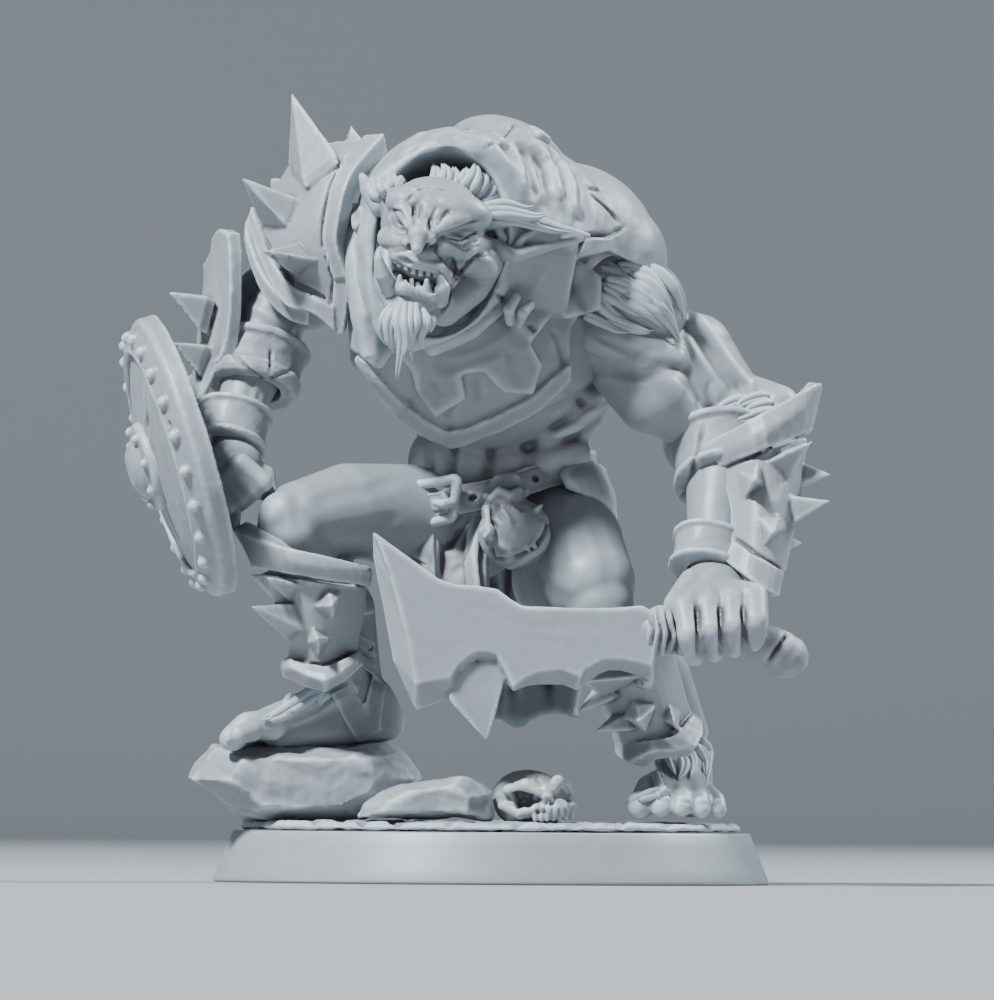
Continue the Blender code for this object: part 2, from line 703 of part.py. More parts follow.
def make_belt_buckle():
    half = BUCKLE_WIDTH / 2
    centre = Vector((-3.9, -4.6, 22.8))
    corners = [(-half, 0, -half), (half, 0, -half), (half, 0, half), (-half, 0, half)]
    buckle = wire_loop("belt_buckle", [centre + Vector(corner) for corner in corners], BUCKLE_WIRE)
    tongue_root = centre + Vector((-half, -TONGUE_RISE, 0))
    tongue_tip = centre + Vector((half, -TONGUE_RISE, 0))
    combine(buckle, cylinder("tongue", tongue_root, tongue_tip, TONGUE_RADIUS), "UNION")
    return buckle


def make_belt_pouch():
    form = bmesh.new()
    ball(form, (1.6, -5.9, 19.8), (2.5, 1.7, 1.9))
    chain(form, [(1.5, -5.9, 21), (1.2, -5.6, 22.6)], [1.3, 0.8])
    limb(form, (0.2, -5.4, 23.4), (2.1, -5.4, 23.7), 0.75, 0.75)
    return fused("belt_pouch", form, SMALL_FACES, grain=0.4)


def hanging_cloth(name, top, bottom, facing, half_width, bow):
    """A strip of cloth that hangs from the belt, bowed towards the side that it faces."""
    drop = (Vector(bottom) - Vector(top)).length
    angle = math.degrees(half_width / bow)
    rows = [(drop * k / 4, angle * (1 - 0.05 * k), bow) for k in range(5)]
    back = Vector(facing).normalized() * bow
    return wrapped_plate(
        name, Vector(top) - back, Vector(bottom) - back, facing, rows, ridge=0, thickness=CLOTH_THICKNESS
    )


# ------------------------------------------------------------------ cleaver and shield

GRIP_INNER_END = (11.1, -13.5, 13.7)
GRIP_OUTER_END = (20.6, -11.6, 12)
BLADE_DEPTH = -13.6
BLADE_OUTLINE = [
    (-8.5, 20.5), (-5.9, 18.9), (-3.9, 17.4), (-2.4, 16.7), (0.1, 16.5), (2, 15.4),
    (4.9, 15.2), (10.7, 15.4), (11.3, 13.8), (11.7, 12), (11.5, 10.1), (9.9, 11.4),
    (7.8, 11.5), (6.4, 10.5), (4.4, 10.8), (2.6, 10.8), (1.3, 9.6), (0.5, 10.5),
    (-0.5, 5.7), (-1.8, 7.2), (-3, 8.9), (-5.2, 8.1), (-6.4, 11.6), (-7.7, 16.7),
]


def make_cleaver_handle():
    handle = cylinder("cleaver_handle", GRIP_INNER_END, GRIP_OUTER_END, GRIP_RADIUS, segments=14)
    along = (Vector(GRIP_OUTER_END) - Vector(GRIP_INNER_END)).normalized()
    pommel = cylinder(
        "pommel", Vector(GRIP_OUTER_END) - along * 0.8, Vector(GRIP_OUTER_END) + along * 1.6,
        POMMEL_RADIUS * 0.85, POMMEL_RADIUS, segments=14,
    )
    combine(handle, pommel, "UNION")
    start = Vector(GRIP_INNER_END)
    bolster = cylinder("bolster", start, start + along * BOLSTER_LENGTH, BOLSTER_RADIUS, segments=14)
    combine(handle, bolster, "UNION")
    return handle


def make_cleaver_blade():
    blade = flat_outline("cleaver_blade", BLADE_OUTLINE, BLADE_THICKNESS, BLADE_BEVEL)
    blade.data.transform(Matrix.Translation((0, BLADE_DEPTH, 0)))
    return blade


SHIELD_CENTRE = (-22.1, -7, 26)
SHIELD_FACING = (-0.945, -0.15, -0.29)


def shield_place():
    return bone_frame(SHIELD_CENTRE, Vector(SHIELD_CENTRE) + Vector(SHIELD_FACING), (0, 0, 1))


def shield_disc(name, low, high, radius, end_radius, segments=40):
    place = shield_place()
    start, end = place @ Vector((0, 0, low)), place @ Vector((0, 0, high))
    return cylinder(name, start, end, radius, end_radius, segments)


def make_shield_board():
    radius = SHIELD_RADIUS - SHIELD_RIM_LIP - GLUE_GAP
    half = SHIELD_BOARD_THICKNESS / 2
    return shield_disc("shield_board", -half, half, radius, radius)


def make_shield_rim():
    back = -SHIELD_BOARD_THICKNESS / 2
    seat = SHIELD_BOARD_THICKNESS / 2 + GLUE_GAP
    front = seat + SHIELD_RIM_THICKNESS
    inner = SHIELD_RADIUS - SHIELD_RIM_WIDTH
    lip = SHIELD_RADIUS - SHIELD_RIM_LIP
    profile = [
        (inner, seat), (inner, front), (SHIELD_RADIUS - 0.3, front), (SHIELD_RADIUS, front - 0.3),
        (SHIELD_RADIUS, back), (lip, back), (lip, seat), (inner, seat),
    ]
    rim = turned("shield_rim", profile, 48)
    form = bmesh.new()
    form.from_mesh(rim.data)
    bmesh.ops.remove_doubles(form, verts=form.verts, dist=0.001)
    bmesh.ops.recalc_face_normals(form, faces=form.faces)
    form.to_mesh(rim.data)
    form.free()
    form = bmesh.new()
    for k in range(RIVET_COUNT):
        angle = 2 * math.pi * (k + 0.5) / RIVET_COUNT
        reach = SHIELD_RADIUS - SHIELD_RIM_WIDTH / 2
        place = (reach * math.cos(angle), reach * math.sin(angle), front)
        ball(form, place, (RIVET_RADIUS, RIVET_RADIUS, RIVET_RADIUS), segments=8)
    combine(rim, as_object("rivets", form), "UNION")
    rim.data.transform(shield_place())
    return rim


def make_shield_boss():
    seat = SHIELD_BOARD_THICKNESS / 2 + GLUE_GAP
    radius = SHIELD_BOSS_RADIUS
    profile = [(0, SHIELD_BOSS_HEIGHT)]
    for k in range(1, 5):
        angle = math.pi / 2 * k / 5
        height = 0.35 + (SHIELD_BOSS_HEIGHT - 0.35) * math.cos(angle)
        profile.append((radius * 0.72 * math.sin(angle), height))
    profile += [(radius * 0.75, 0.35), (radius, 0.35), (radius, 0), (0, 0)]
    boss = turned("shield_boss", profile, 24)
    boss.data.transform(shield_place() @ Matrix.Translation((0, 0, seat)))
    return boss


def make_shield_grip():
    back = -SHIELD_BOARD_THICKNESS / 2 - GLUE_GAP
    place = shield_place()
    top = SHIELD_GRIP_TOP
    bottom = top - SHIELD_GRIP_LENGTH
    reach = back - SHIELD_GRIP_DEPTH
    corners = [(bottom, 0, back), (bottom, 0, reach), (top, 0, reach), (top, 0, back)]
    return wire_loop(
        "shield_grip", [place @ Vector(corner) for corner in corners], SHIELD_GRIP_RADIUS, cyclic=False
    )


# ------------------------------------------------------------------ finishes

# Colour and roughness of each resin: bare grey, a little warmer on skin and cooler on the armour
SKIN_RESIN = ((0.50, 0.51, 0.54), 0.48)
CLOTH_RESIN = ((0.47, 0.48, 0.52), 0.58)
ARMOUR_RESIN = ((0.52, 0.54, 0.58), 0.42)
STONE_RESIN = ((0.46, 0.48, 0.51), 0.62)
BASE_RESIN = ((0.50, 0.53, 0.57), 0.45)

FINISHES = {
    "base_plinth": BASE_RESIN, "paving_slab": STONE_RESIN, "big_rock": STONE_RESIN,
    "small_rock": STONE_RESIN, "shoulder_mantle": CLOTH_RESIN, "breast_leather": CLOTH_RESIN,
    "loincloth_front": CLOTH_RESIN, "loincloth_back": CLOTH_RESIN, "belt": CLOTH_RESIN,
    "belt_pouch": CLOTH_RESIN, "right_elbow_cuff": CLOTH_RESIN, "left_elbow_cuff": CLOTH_RESIN,
    "shoulder_guard": ARMOUR_RESIN, "shoulder_guard_lame": ARMOUR_RESIN, "right_vambrace": ARMOUR_RESIN,
    "left_vambrace": ARMOUR_RESIN, "right_greave": ARMOUR_RESIN, "left_greave": ARMOUR_RESIN,
    "right_wrist_band": ARMOUR_RESIN, "left_wrist_band": ARMOUR_RESIN, "belt_buckle": ARMOUR_RESIN,
    "cleaver_blade": ARMOUR_RESIN, "cleaver_handle": CLOTH_RESIN, "shield_board": CLOTH_RESIN,
    "shield_rim": ARMOUR_RESIN, "shield_boss": ARMOUR_RESIN, "shield_grip": CLOTH_RESIN,
}


# ------------------------------------------------------------------ assembly


def build():
    clear_scene()
    plinth = make_base_plinth()
    paving = make_paving_slab()
    big_rock = boulder("big_rock", BIG_ROCK)
    trim_to(big_rock, [paving])
    small_rock = boulder("small_rock", SMALL_ROCK)
    trim_to(small_rock, [paving, big_rock])
    skull = make_ground_skull()
    trim_to(skull, [paving, small_rock])

    torso = make_torso()
    right_leg = make_right_leg()
    trim_to(right_leg, [torso, big_rock])
    left_leg = make_left_leg()
    trim_to(left_leg, [torso, right_leg, paving])
    head = make_head()
    trim_to(head, [torso])
    handle = make_cleaver_handle()
    grip = make_shield_grip()
    right_arm = make_right_arm()
    trim_to(right_arm, [torso, grip, right_leg])
    left_arm = make_left_arm()
    trim_to(left_arm, [torso, handle, left_leg])
    body = [torso, right_leg, left_leg, head, right_arm, left_arm]

    blade = make_cleaver_blade()
    trim_to(blade, [handle] + body)
    belt = make_belt()
    trim_to(belt, body)
    buckle = make_belt_buckle()
    trim_to(buckle, [belt] + body)
    front_cloth = hanging_cloth(
        "loincloth_front", (-2.8, -4.3, 22.3), (-2.8, -5.4, 16), (0, -1, 0), 3.3, 6.0)
    trim_to(front_cloth, [belt, buckle] + body)
    back_cloth = hanging_cloth("loincloth_back", (0.7, 6.9, 23.1), (2.7, 6.4, 7.2), (0, 1, 0), 4.6, 8.0)
    trim_to(back_cloth, [belt] + body)
    pouch = make_belt_pouch()
    trim_to(pouch, [belt, front_cloth, buckle] + body)

    leather = make_breast_leather()
    trim_to(leather, body)
    mantle = make_shoulder_mantle()
    trim_to(mantle, body + [leather])
    worn = body + [leather, mantle]
    guard = make_shoulder_guard()
    trim_to(guard, worn)
    lame = make_shoulder_guard_lame()
    trim_to(lame, worn + [guard])

    armour = [guard, lame]
    for make in (make_right_vambrace, make_left_vambrace, make_right_greave, make_left_greave):
        plate = make()
        trim_to(plate, worn + armour + [blade, handle, big_rock, grip])
        armour.append(plate)
    bands = [
        band("right_elbow_cuff", RIGHT_ELBOW, RIGHT_WRIST, 5.2, 8.2, FOREARM_RADIUS, FOREARM_RADIUS + 0.8),
        band("left_elbow_cuff", LEFT_ELBOW, LEFT_WRIST, 3.6, 7.2, FOREARM_RADIUS, FOREARM_RADIUS + 0.8),
        band("right_wrist_band", RIGHT_ELBOW, RIGHT_WRIST, 10.8, 13.4, WRIST_RADIUS, WRIST_RADIUS + 0.8),
        band("left_wrist_band", LEFT_ELBOW, LEFT_WRIST, 11.6, 14.2, WRIST_RADIUS, WRIST_RADIUS + 0.8),
    ]
    for each in bands:
        trim_to(each, body + armour + [handle, grip])
    armour += bands

    board = make_shield_board()
    trim_to(board, [grip, right_arm, right_leg] + armour)
    make_shield_rim()
    make_shield_boss()

    join_with_peg(head, [torso], HEAD, Vector(NECK).lerp(Vector(HUMP), 0.35))
    join_with_peg(left_arm, [torso], LEFT_SHOULDER, (5, -1.6, 37.5))
    join_with_peg(right_arm, [torso], RIGHT_SHOULDER, (-8, -2.6, 39.8))
    heel = Vector(LEFT_ANKLE)
    join_with_peg(left_leg, [paving, plinth], heel, (heel.x, heel.y, -PEG_DEPTH))
    rock_peg = Vector(RIGHT_BALL).lerp(Vector(RIGHT_HEEL), 0.5)
    join_with_peg(right_leg, [big_rock], rock_peg, rock_peg - Vector((0, 0, PEG_DEPTH + ANKLE_RADIUS)))

    finish_castings()


def finish_castings():
    """Puts the castings in their collection, on the base, in metres, each with its finish."""
    castings = bpy.data.collections.new("ogre_miniature")
    bpy.context.scene.collection.children.link(castings)
    lift = Matrix.Translation((0, 0, BASE_HEIGHT + PAVING_THICKNESS + GLUE_GAP))
    for obj in list(bpy.context.scene.collection.objects):
        obj.data.transform(Matrix.Scale(MM, 4) @ lift)
        obj.data.materials.clear()
        obj.data.materials.append(paint(obj.name + "_resin", *FINISHES.get(obj.name, SKIN_RESIN)))
        castings.objects.link(obj)
        bpy.context.scene.collection.objects.unlink(obj)


build()
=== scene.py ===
"""The looks of the crouching ogre miniature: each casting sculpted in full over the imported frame.

The castings are sculpted in millimetres above the paving, and cast() puts each one in the frame.
"""

import math
import random

import bmesh
import bpy
import numpy as np
from mathutils import Euler, Matrix, Vector, noise
from mathutils.bvhtree import BVHTree


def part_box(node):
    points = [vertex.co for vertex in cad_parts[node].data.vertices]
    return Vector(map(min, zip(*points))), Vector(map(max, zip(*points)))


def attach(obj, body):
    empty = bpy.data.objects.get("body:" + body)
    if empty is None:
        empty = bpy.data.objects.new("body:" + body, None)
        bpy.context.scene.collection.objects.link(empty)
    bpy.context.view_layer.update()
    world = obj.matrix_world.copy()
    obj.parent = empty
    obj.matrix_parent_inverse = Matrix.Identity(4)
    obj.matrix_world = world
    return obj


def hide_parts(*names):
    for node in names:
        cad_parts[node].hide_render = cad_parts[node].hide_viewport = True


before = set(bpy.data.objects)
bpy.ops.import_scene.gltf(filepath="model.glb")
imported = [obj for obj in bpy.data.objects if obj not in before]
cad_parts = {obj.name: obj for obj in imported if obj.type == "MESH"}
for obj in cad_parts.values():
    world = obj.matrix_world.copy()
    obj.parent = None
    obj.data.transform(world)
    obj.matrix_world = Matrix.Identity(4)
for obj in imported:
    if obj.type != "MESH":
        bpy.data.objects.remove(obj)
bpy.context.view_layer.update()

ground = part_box("paving_slab")[1].z

# ------------------------------------------------------------------ torso
# The ogre's trunk: one resin casting with a hunched back, a broad chest and a lean, ribbed belly.
# It is sculpted from muscle masses melted into one skin, then cut with the creases between them.



def blob(form, centre, size, turn=(0, 0, 0), rings=44):
    """A muscle mass: an ellipsoid of these half-sizes, turned by degrees about X, Y and Z."""
    turned = Euler([math.radians(angle) for angle in turn]).to_matrix().to_4x4()
    place = Matrix.Translation(centre) @ turned @ Matrix.Diagonal((*size, 1))
    bmesh.ops.create_uvsphere(form, u_segments=rings, v_segments=rings // 2, radius=1, matrix=place)


def aim(start, end, facing=(0.31, -1, 0.17)):
    """Z runs from start to end, and X turns to the facing side."""
    along = (Vector(end) - Vector(start)).normalized()
    side = along.cross(Vector(facing)).normalized()
    axes = Matrix((side.cross(along), side, along)).transposed().to_4x4()
    return Matrix.Translation(start) @ axes


def sinew(form, places, radii, rings=36):
    """A limb or muscle that runs through the places, with a radius at each."""
    for k, (place, radius) in enumerate(zip(places, radii)):
        blob(form, place, (radius,) * 3, rings=rings)
        if k:
            last = Vector(places[k - 1])
            length = (Vector(place) - last).length
            middle = aim(last, place) @ Matrix.Translation((0, 0, length / 2))
            bmesh.ops.create_cone(
                form, cap_ends=True, segments=rings, depth=length,
                radius1=radii[k - 1], radius2=radius, matrix=middle,
            )


def melted(name, form, grain, softness=6):
    """Melts the masses into one skin, whose grid is this fine, and smooths it."""
    mesh = bpy.data.meshes.new(name)
    form.to_mesh(mesh)
    form.free()
    piece = bpy.data.objects.new(name, mesh)
    bpy.context.scene.collection.objects.link(piece)
    melt = piece.modifiers.new("melt", "REMESH")
    melt.mode = "VOXEL"
    melt.voxel_size = grain
    soften = piece.modifiers.new("soften", "SMOOTH")
    soften.factor = 0.5
    soften.iterations = softness
    settle(piece)
    return piece


def settle(piece):
    """Applies the piece's modifiers."""
    graph = bpy.context.evaluated_depsgraph_get()
    mesh = bpy.data.meshes.new_from_object(piece.evaluated_get(graph))
    piece.modifiers.clear()
    piece.data = mesh


def read_skin(piece):
    """The piece's vertices and normals, as arrays."""
    count = len(piece.data.vertices)
    places = np.empty(count * 3, dtype=np.float32)
    normals = np.empty(count * 3, dtype=np.float32)
    piece.data.vertices.foreach_get("co", places)
    piece.data.vertices.foreach_get("normal", normals)
    return places.reshape(-1, 3), normals.reshape(-1, 3)


def stroke(piece, lines, width, depth, sharp=1.0):
    """Draws a sculpting tool along each line: it digs in by depth, or builds up where depth is negative.
    The stroke fades at both ends. A sharper one has a narrower bottom."""
    places, normals = read_skin(piece)
    pushed = np.zeros(len(places), dtype=np.float32)
    for line in lines:
        line = np.array([tuple(p) for p in line], dtype=np.float32)
        steps = np.linalg.norm(np.diff(line, axis=0), axis=1)
        total = steps.sum() + 1e-6
        near = np.all(places > line.min(0) - width, axis=1) & np.all(places < line.max(0) + width, axis=1)
        chosen = np.nonzero(near)[0]
        if not len(chosen):
            continue
        best = np.full(len(chosen), 1e9, dtype=np.float32)
        along = np.zeros(len(chosen), dtype=np.float32)
        run = 0
        for k in range(len(steps)):
            way = line[k + 1] - line[k]
            offset = places[chosen] - line[k]
            share = np.clip(offset @ way / (steps[k] ** 2 + 1e-9), 0, 1)
            gap = np.linalg.norm(offset - share[:, None] * way, axis=1)
            closer = gap < best
            best[closer] = gap[closer]
            along[closer] = (run + share[closer] * steps[k]) / total
            run += steps[k]
        reach = np.clip(1 - best / width, 0, 1)
        profile = (reach * reach * (3 - 2 * reach)) ** sharp
        fade = np.clip(np.minimum(along, 1 - along) * 5 + 0.15, 0, 1)
        change = profile * fade
        pushed[chosen] = np.maximum(pushed[chosen], change)
    places -= normals * (pushed * depth)[:, None]
    piece.data.vertices.foreach_set("co", places.ravel())
    piece.data.update()


def tree_of(piece):
    mesh = piece.data
    return BVHTree.FromPolygons([v.co for v in mesh.vertices], [p.vertices for p in mesh.polygons])


def seen(tree, points, lift=0.0, side=-1):
    """Drops points drawn in X and Z on to the skin, from the front, or from the back where side is 1."""
    found = []
    for x, z in points:
        hit = tree.ray_cast(Vector((x, side * 60, z)), Vector((0, -side, 0)))[0]
        if hit is None:
            hit = tree.find_nearest(Vector((x, side * 12, z)))[0]
        found.append((hit.x, hit.y + side * lift, hit.z))
    return found


def front_strokes(piece, lines, width, depth, sharp=1.0, side=-1):
    tree = tree_of(piece)
    stroke(piece, [seen(tree, refined(line), side=side) for line in lines], width, depth, sharp)


def refined(line, step=0.5):
    """The same line with a point at least every step."""
    points = [line[0]]
    for start, end in zip(line, line[1:]):
        count = max(1, math.ceil(math.dist(start, end) / step))
        points += [tuple(a + (b - a) * k / count for a, b in zip(start, end)) for k in range(1,
            count + 1)]
    return points


def rough(piece, size, depth, octaves=3, seed=0.0):
    """Fine unevenness all over a skin, by noise of this size in millimetres."""
    places, normals = read_skin(piece)
    shift = Vector((seed, seed * 0.7, seed * 1.3))
    amount = np.array(
        [noise.fractal(Vector(p) / size + shift, 0.8, 2.0, octaves) for p in places.tolist()],
        dtype=np.float32
    )
    places += normals * (amount * depth)[:, None]
    piece.data.vertices.foreach_set("co", places.ravel())
    piece.data.update()


# Strength of the curvature mask behind the painted shade in creases and the painted highlight on edges.
CREASE_GAIN = 11


def store_painted_shade_mask(piece, rounds=9, calm=0.17):
    """Stores how hollow or how raised each point is, from -1 in a crease to 1 on an edge, as the mask that
    the resin materials turn into painted shade in the creases and a painted highlight on the edges.
    Curves gentler than calm count as flat."""
    mesh = piece.data
    places, normals = read_skin(piece)
    ends = np.empty(len(mesh.edges) * 2, dtype=np.int32)
    mesh.edges.foreach_get("vertices", ends)
    first, second = ends[0::2], ends[1::2]
    count = np.bincount(ends, minlength=len(places)).astype(np.float32)
    count[count == 0] = 1
    sums = np.zeros_like(places)
    np.add.at(sums, first, places[second])
    np.add.at(sums, second, places[first])
    lean = ((places - sums / count[:, None]) * normals).sum(1)
    length = np.linalg.norm(places[first] - places[second], axis=1).mean()
    painted_shade_and_highlight = lean / max(length, 1e-6)
    for _ in range(rounds):
        spread = np.zeros_like(painted_shade_and_highlight)
        np.add.at(spread, first, painted_shade_and_highlight[second])
        np.add.at(spread, second, painted_shade_and_highlight[first])
        painted_shade_and_highlight = 0.4 * painted_shade_and_highlight + 0.6 * spread / count
    painted_shade_and_highlight *= CREASE_GAIN
    painted_shade_and_highlight = np.clip(np.sign(painted_shade_and_highlight) * np.maximum(np.abs(painted_shade_and_highlight) - calm, 0), -1, 1)
    layer = mesh.attributes.new("painted_shade_and_highlight", "FLOAT", "POINT")
    layer.data.foreach_set("value", painted_shade_and_highlight.astype(np.float32))


def cast(piece, *nodes, slot="skin_resin", finish=None, smooth=True):
    """Puts a finished sculpt in the frame, in metres, in place of its plain casting."""
    # Stores the mask for the painted shade in the creases and the painted highlight on the edges.
    store_painted_shade_mask(piece)
    piece.data.transform(Matrix.Translation((0, 0, ground)) @ Matrix.Scale(MM, 4))
    piece.data.polygons.foreach_set("use_smooth", [smooth] * len(piece.data.polygons))
    piece.data.materials.clear()
    piece.data.materials.append(finish)
    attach(piece, "root")
    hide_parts(*nodes)
    return piece


MM = 0.001


def grey_resin(name, colour, roughness=0.5, grain=0.06, grain_depth=0.006):
    """Bare casting resin: cool grey, with painted shade (dark mauve) in the recesses and a painted highlight
    (paler) on the edges, and a fine dusty grain.
    Colour mottles by about a millimetre, and grain is the size of the dust in millimetres."""
    finish = bpy.data.materials.new(name)
    finish.use_nodes = True
    nodes, links = finish.node_tree.nodes, finish.node_tree.links
    shader = nodes["Principled BSDF"]
    shader.inputs["Specular IOR Level"].default_value = 0.5
    shader.inputs["Sheen Weight"].default_value = 0.06
    shader.inputs["Sheen Roughness"].default_value = 0.5
    place = nodes.new("ShaderNodeTexCoord")
    painted_shade_and_highlight = nodes.new("ShaderNodeAttribute")
    painted_shade_and_highlight.attribute_name = "painted_shade_and_highlight"

    mottle = nodes.new("ShaderNodeTexNoise")
    mottle.inputs["Scale"].default_value = 900
    mottle.inputs["Detail"].default_value = 4
    links.new(place.outputs["Object"], mottle.inputs["Vector"])

    # The curvature mask, plus a little real random mottle, picks the colour: painted shade in the creases,
    # painted highlight on the edges.
    depth = nodes.new("ShaderNodeMapRange")
    depth.inputs["From Min"].default_value = -0.75
    depth.inputs["From Max"].default_value = 0.75
    links.new(painted_shade_and_highlight.outputs["Fac"], depth.inputs["Value"])
    tone = nodes.new("ShaderNodeMath")
    tone.operation = "MULTIPLY_ADD"
    tone.inputs[1].default_value = 0.12
    links.new(mottle.outputs["Fac"], tone.inputs[0])
    links.new(depth.outputs["Result"], tone.inputs[2])

    # Ramp: the dark mauve end is painted shade in the creases, the pale end a painted highlight on the edges,
    # the middle the resin's own grey.
    ramp = nodes.new("ShaderNodeValToRGB")
    shades = ramp.color_ramp
    red, green, blue = colour
    shades.elements[0].position = 0.08
    shades.elements[0].color = (red * 0.42, green * 0.35, blue * 0.38, 1)
    shades.elements[1].position = 0.98
    shades.elements[1].color = (red * 1.55, green * 1.60, blue * 1.60, 1)
    low = shades.elements.new(0.38)
    low.color = (red * 0.84, green * 0.78, blue * 0.80, 1)
    middle = shades.elements.new(0.58)
    middle.color = (red, green, blue, 1)
    links.new(tone.outputs["Value"], ramp.inputs["Fac"])
    links.new(ramp.outputs["Color"], shader.inputs["Base Color"])

    sheen = nodes.new("ShaderNodeMapRange")
    sheen.inputs["To Min"].default_value = roughness - 0.07
    sheen.inputs["To Max"].default_value = roughness + 0.09
    links.new(mottle.outputs["Fac"], sheen.inputs["Value"])
    links.new(sheen.outputs["Result"], shader.inputs["Roughness"])

    dust = nodes.new("ShaderNodeTexNoise")
    dust.inputs["Scale"].default_value = 1 / (grain * MM)
    dust.inputs["Detail"].default_value = 2
    links.new(place.outputs["Object"], dust.inputs["Vector"])
    bump = nodes.new("ShaderNodeBump")
    bump.inputs["Strength"].default_value = 0.5
    bump.inputs["Distance"].default_value = grain_depth * MM
    links.new(dust.outputs["Fac"], bump.inputs["Height"])
    links.new(bump.outputs["Normal"], shader.inputs["Normal"])
    return finish


skin_finish = grey_resin("skin_resin", (0.30, 0.325, 0.35), roughness=0.41)

FINE = 1.0
SKIN_GRID = 0.2 / FINE

form = bmesh.new()
blob(form, (0.7, 2, 23.3), (6.5, 4.8, 4.2))
blob(form, (-1.8, 4, 21.8), (3.4, 3.0, 3.5))
blob(form, (3, 4, 21.8), (3.4, 3.0, 3.5))
blob(form, (0.2, 0.4, 26.9), (5.7, 4.2, 5.2))
blob(form, (-0.6, -2.5, 33.9), (8.3, 6.3, 7.4))
blob(form, (0.2, -0.5, 40.5), (9.4, 6.8, 6.2))
blob(form, (6.8, -1.5, 38.2), (4.4, 4.2, 4.2))
blob(form, (-10.1, -3, 40.2), (4.2, 4.2, 4.2))
sinew(form, [(-0.8, -4, 38.2), (-3.3, -8, 39.8)], [5.0, 3.4])
blob(form, (-3.8, -2.7, 25.9), (1.5, 1.2, 2.6), turn=(0, 10, 0))
blob(form, (-1.6, -3.1, 25.9), (1.8, 1.3, 2.5), turn=(0, 4, 0))
blob(form, (1.1, -2.9, 25.6), (2.0, 1.6, 1.9), turn=(0, -14, 0))
blob(form, (4.1, -1.6, 25.9), (3.0, 3.0, 2.0), turn=(0, -20, 0))
blob(form, (-4.5, -1.4, 25.9), (1.7, 2.4, 2.2))
blob(form, (5.8, -0.6, 30.3), (2.4, 3.6, 4.6), turn=(0, 24, 0))
for place in ((6.8, -2.6, 30), (5.8, -3, 29), (4.7, -3.2, 28)):
    blob(form, place, (2.4, 1.6, 0.75), turn=(0, -28, 0))
torso = melted("torso_skin", form, SKIN_GRID, softness=9)
front_strokes(torso, [[(-2.8, 27.4), (-2.9, 25.9), (-3.1, 24.3)],
    [(-4.9, 26.7), (-4.5, 25.6), (-4.8, 24.4)]], 0.5, 0.22)
front_strokes(torso, [[(-0.2, 26.6), (-0.3, 25.6), (-0.6, 24.7)], [(1.8, 26.6), (2.8, 27), (4.7, 27.7)]],
    0.6, 0.14)
front_strokes(torso, [
    [(7.8, 30.5), (5.7, 28.9), (3.5, 27.9)], [(8, 29.3), (6, 27.7), (4.1, 27)],
    [(7.8, 31.8), (5, 30), (3.5, 29.2)],
], 0.6, 0.2)
front_strokes(torso, [[(0.7, 28.9), (-0.1, 21.7)]], 0.35, 0.35, side=1)
rough(torso, 1.6, 0.015, seed=3)
cast(torso, "torso", finish=skin_finish)

# ------------------------------------------------------------------ right arm
# The shield arm: a bent arm and closed fist, cast in one and pegged into the torso under the shoulder guard.

form = bmesh.new()
sinew(form, [(-11, -3, 40.5), (-13.7, -1.5, 38.6), (-16.1, 0.8, 37.5)], [3.9, 3.4, 2.8])
sinew(form, [(-16.1, 0.8, 37.5), (-17, -1, 34.3), (-17.9, -3.2, 30.5), (-18.7, -5.4, 27)],
    [2.8, 2.9, 1.9, 1.55])
blob(form, (-16.4, -2.4, 35.3), (2.0, 2.2, 3.2), turn=(0, 14, 0))
blob(form, (-18.6, -6.6, 25.3), (2.1, 1.7, 2.1))
for k in range(4):
    base = Vector((-18, -8.4, 25.3)).lerp(Vector((-19.7, -8, 23.6)), k / 3)
    knuckle = Vector((-16.4, -8.8, 24.1)).lerp(Vector((-18.6, -8.4, 22.3)), k / 3)
    tip = Vector((-17.4, -7.2, 23.1)).lerp(Vector((-19.3, -7, 21.7)), k / 3)
    sinew(form, [base, knuckle, tip], [0.85, 0.75, 0.6], rings=14)
sinew(form, [(-18.3, -5.4, 25.4), (-16.4, -6.4, 24.6), (-15.9, -7.6, 23)], [1.0, 0.85, 0.6], rings=14)
right_arm = melted("right_arm_skin", form, SKIN_GRID * 0.85, softness=7)
front_strokes(right_arm, [
    [(-18.6, 39.2), (-16.4, 38.1), (-13.7, 36.2)], [(-18.7, 38.1), (-16.7, 37.1), (-14.3, 35.6)],
    [(-18.9, 36.8), (-17.1, 36.1), (-14.7, 34.9)],
    [(-18.3, 40.1), (-15.9, 38.9), (-13.3, 37.2)],
], 0.6, 0.1)
front_strokes(right_arm, [[(-17.3, 31.8), (-18, 28.5)], [(-16.7, 30.9), (-17.4, 28)]], 0.45, 0.1)
rough(right_arm, 1.4, 0.014, seed=5)
cast(right_arm, "right_arm", finish=skin_finish)


# ------------------------------------------------------------------ left arm
# The sword arm: a heavy, reaching arm whose fist is closed round the cleaver's grip, pegged into the torso.

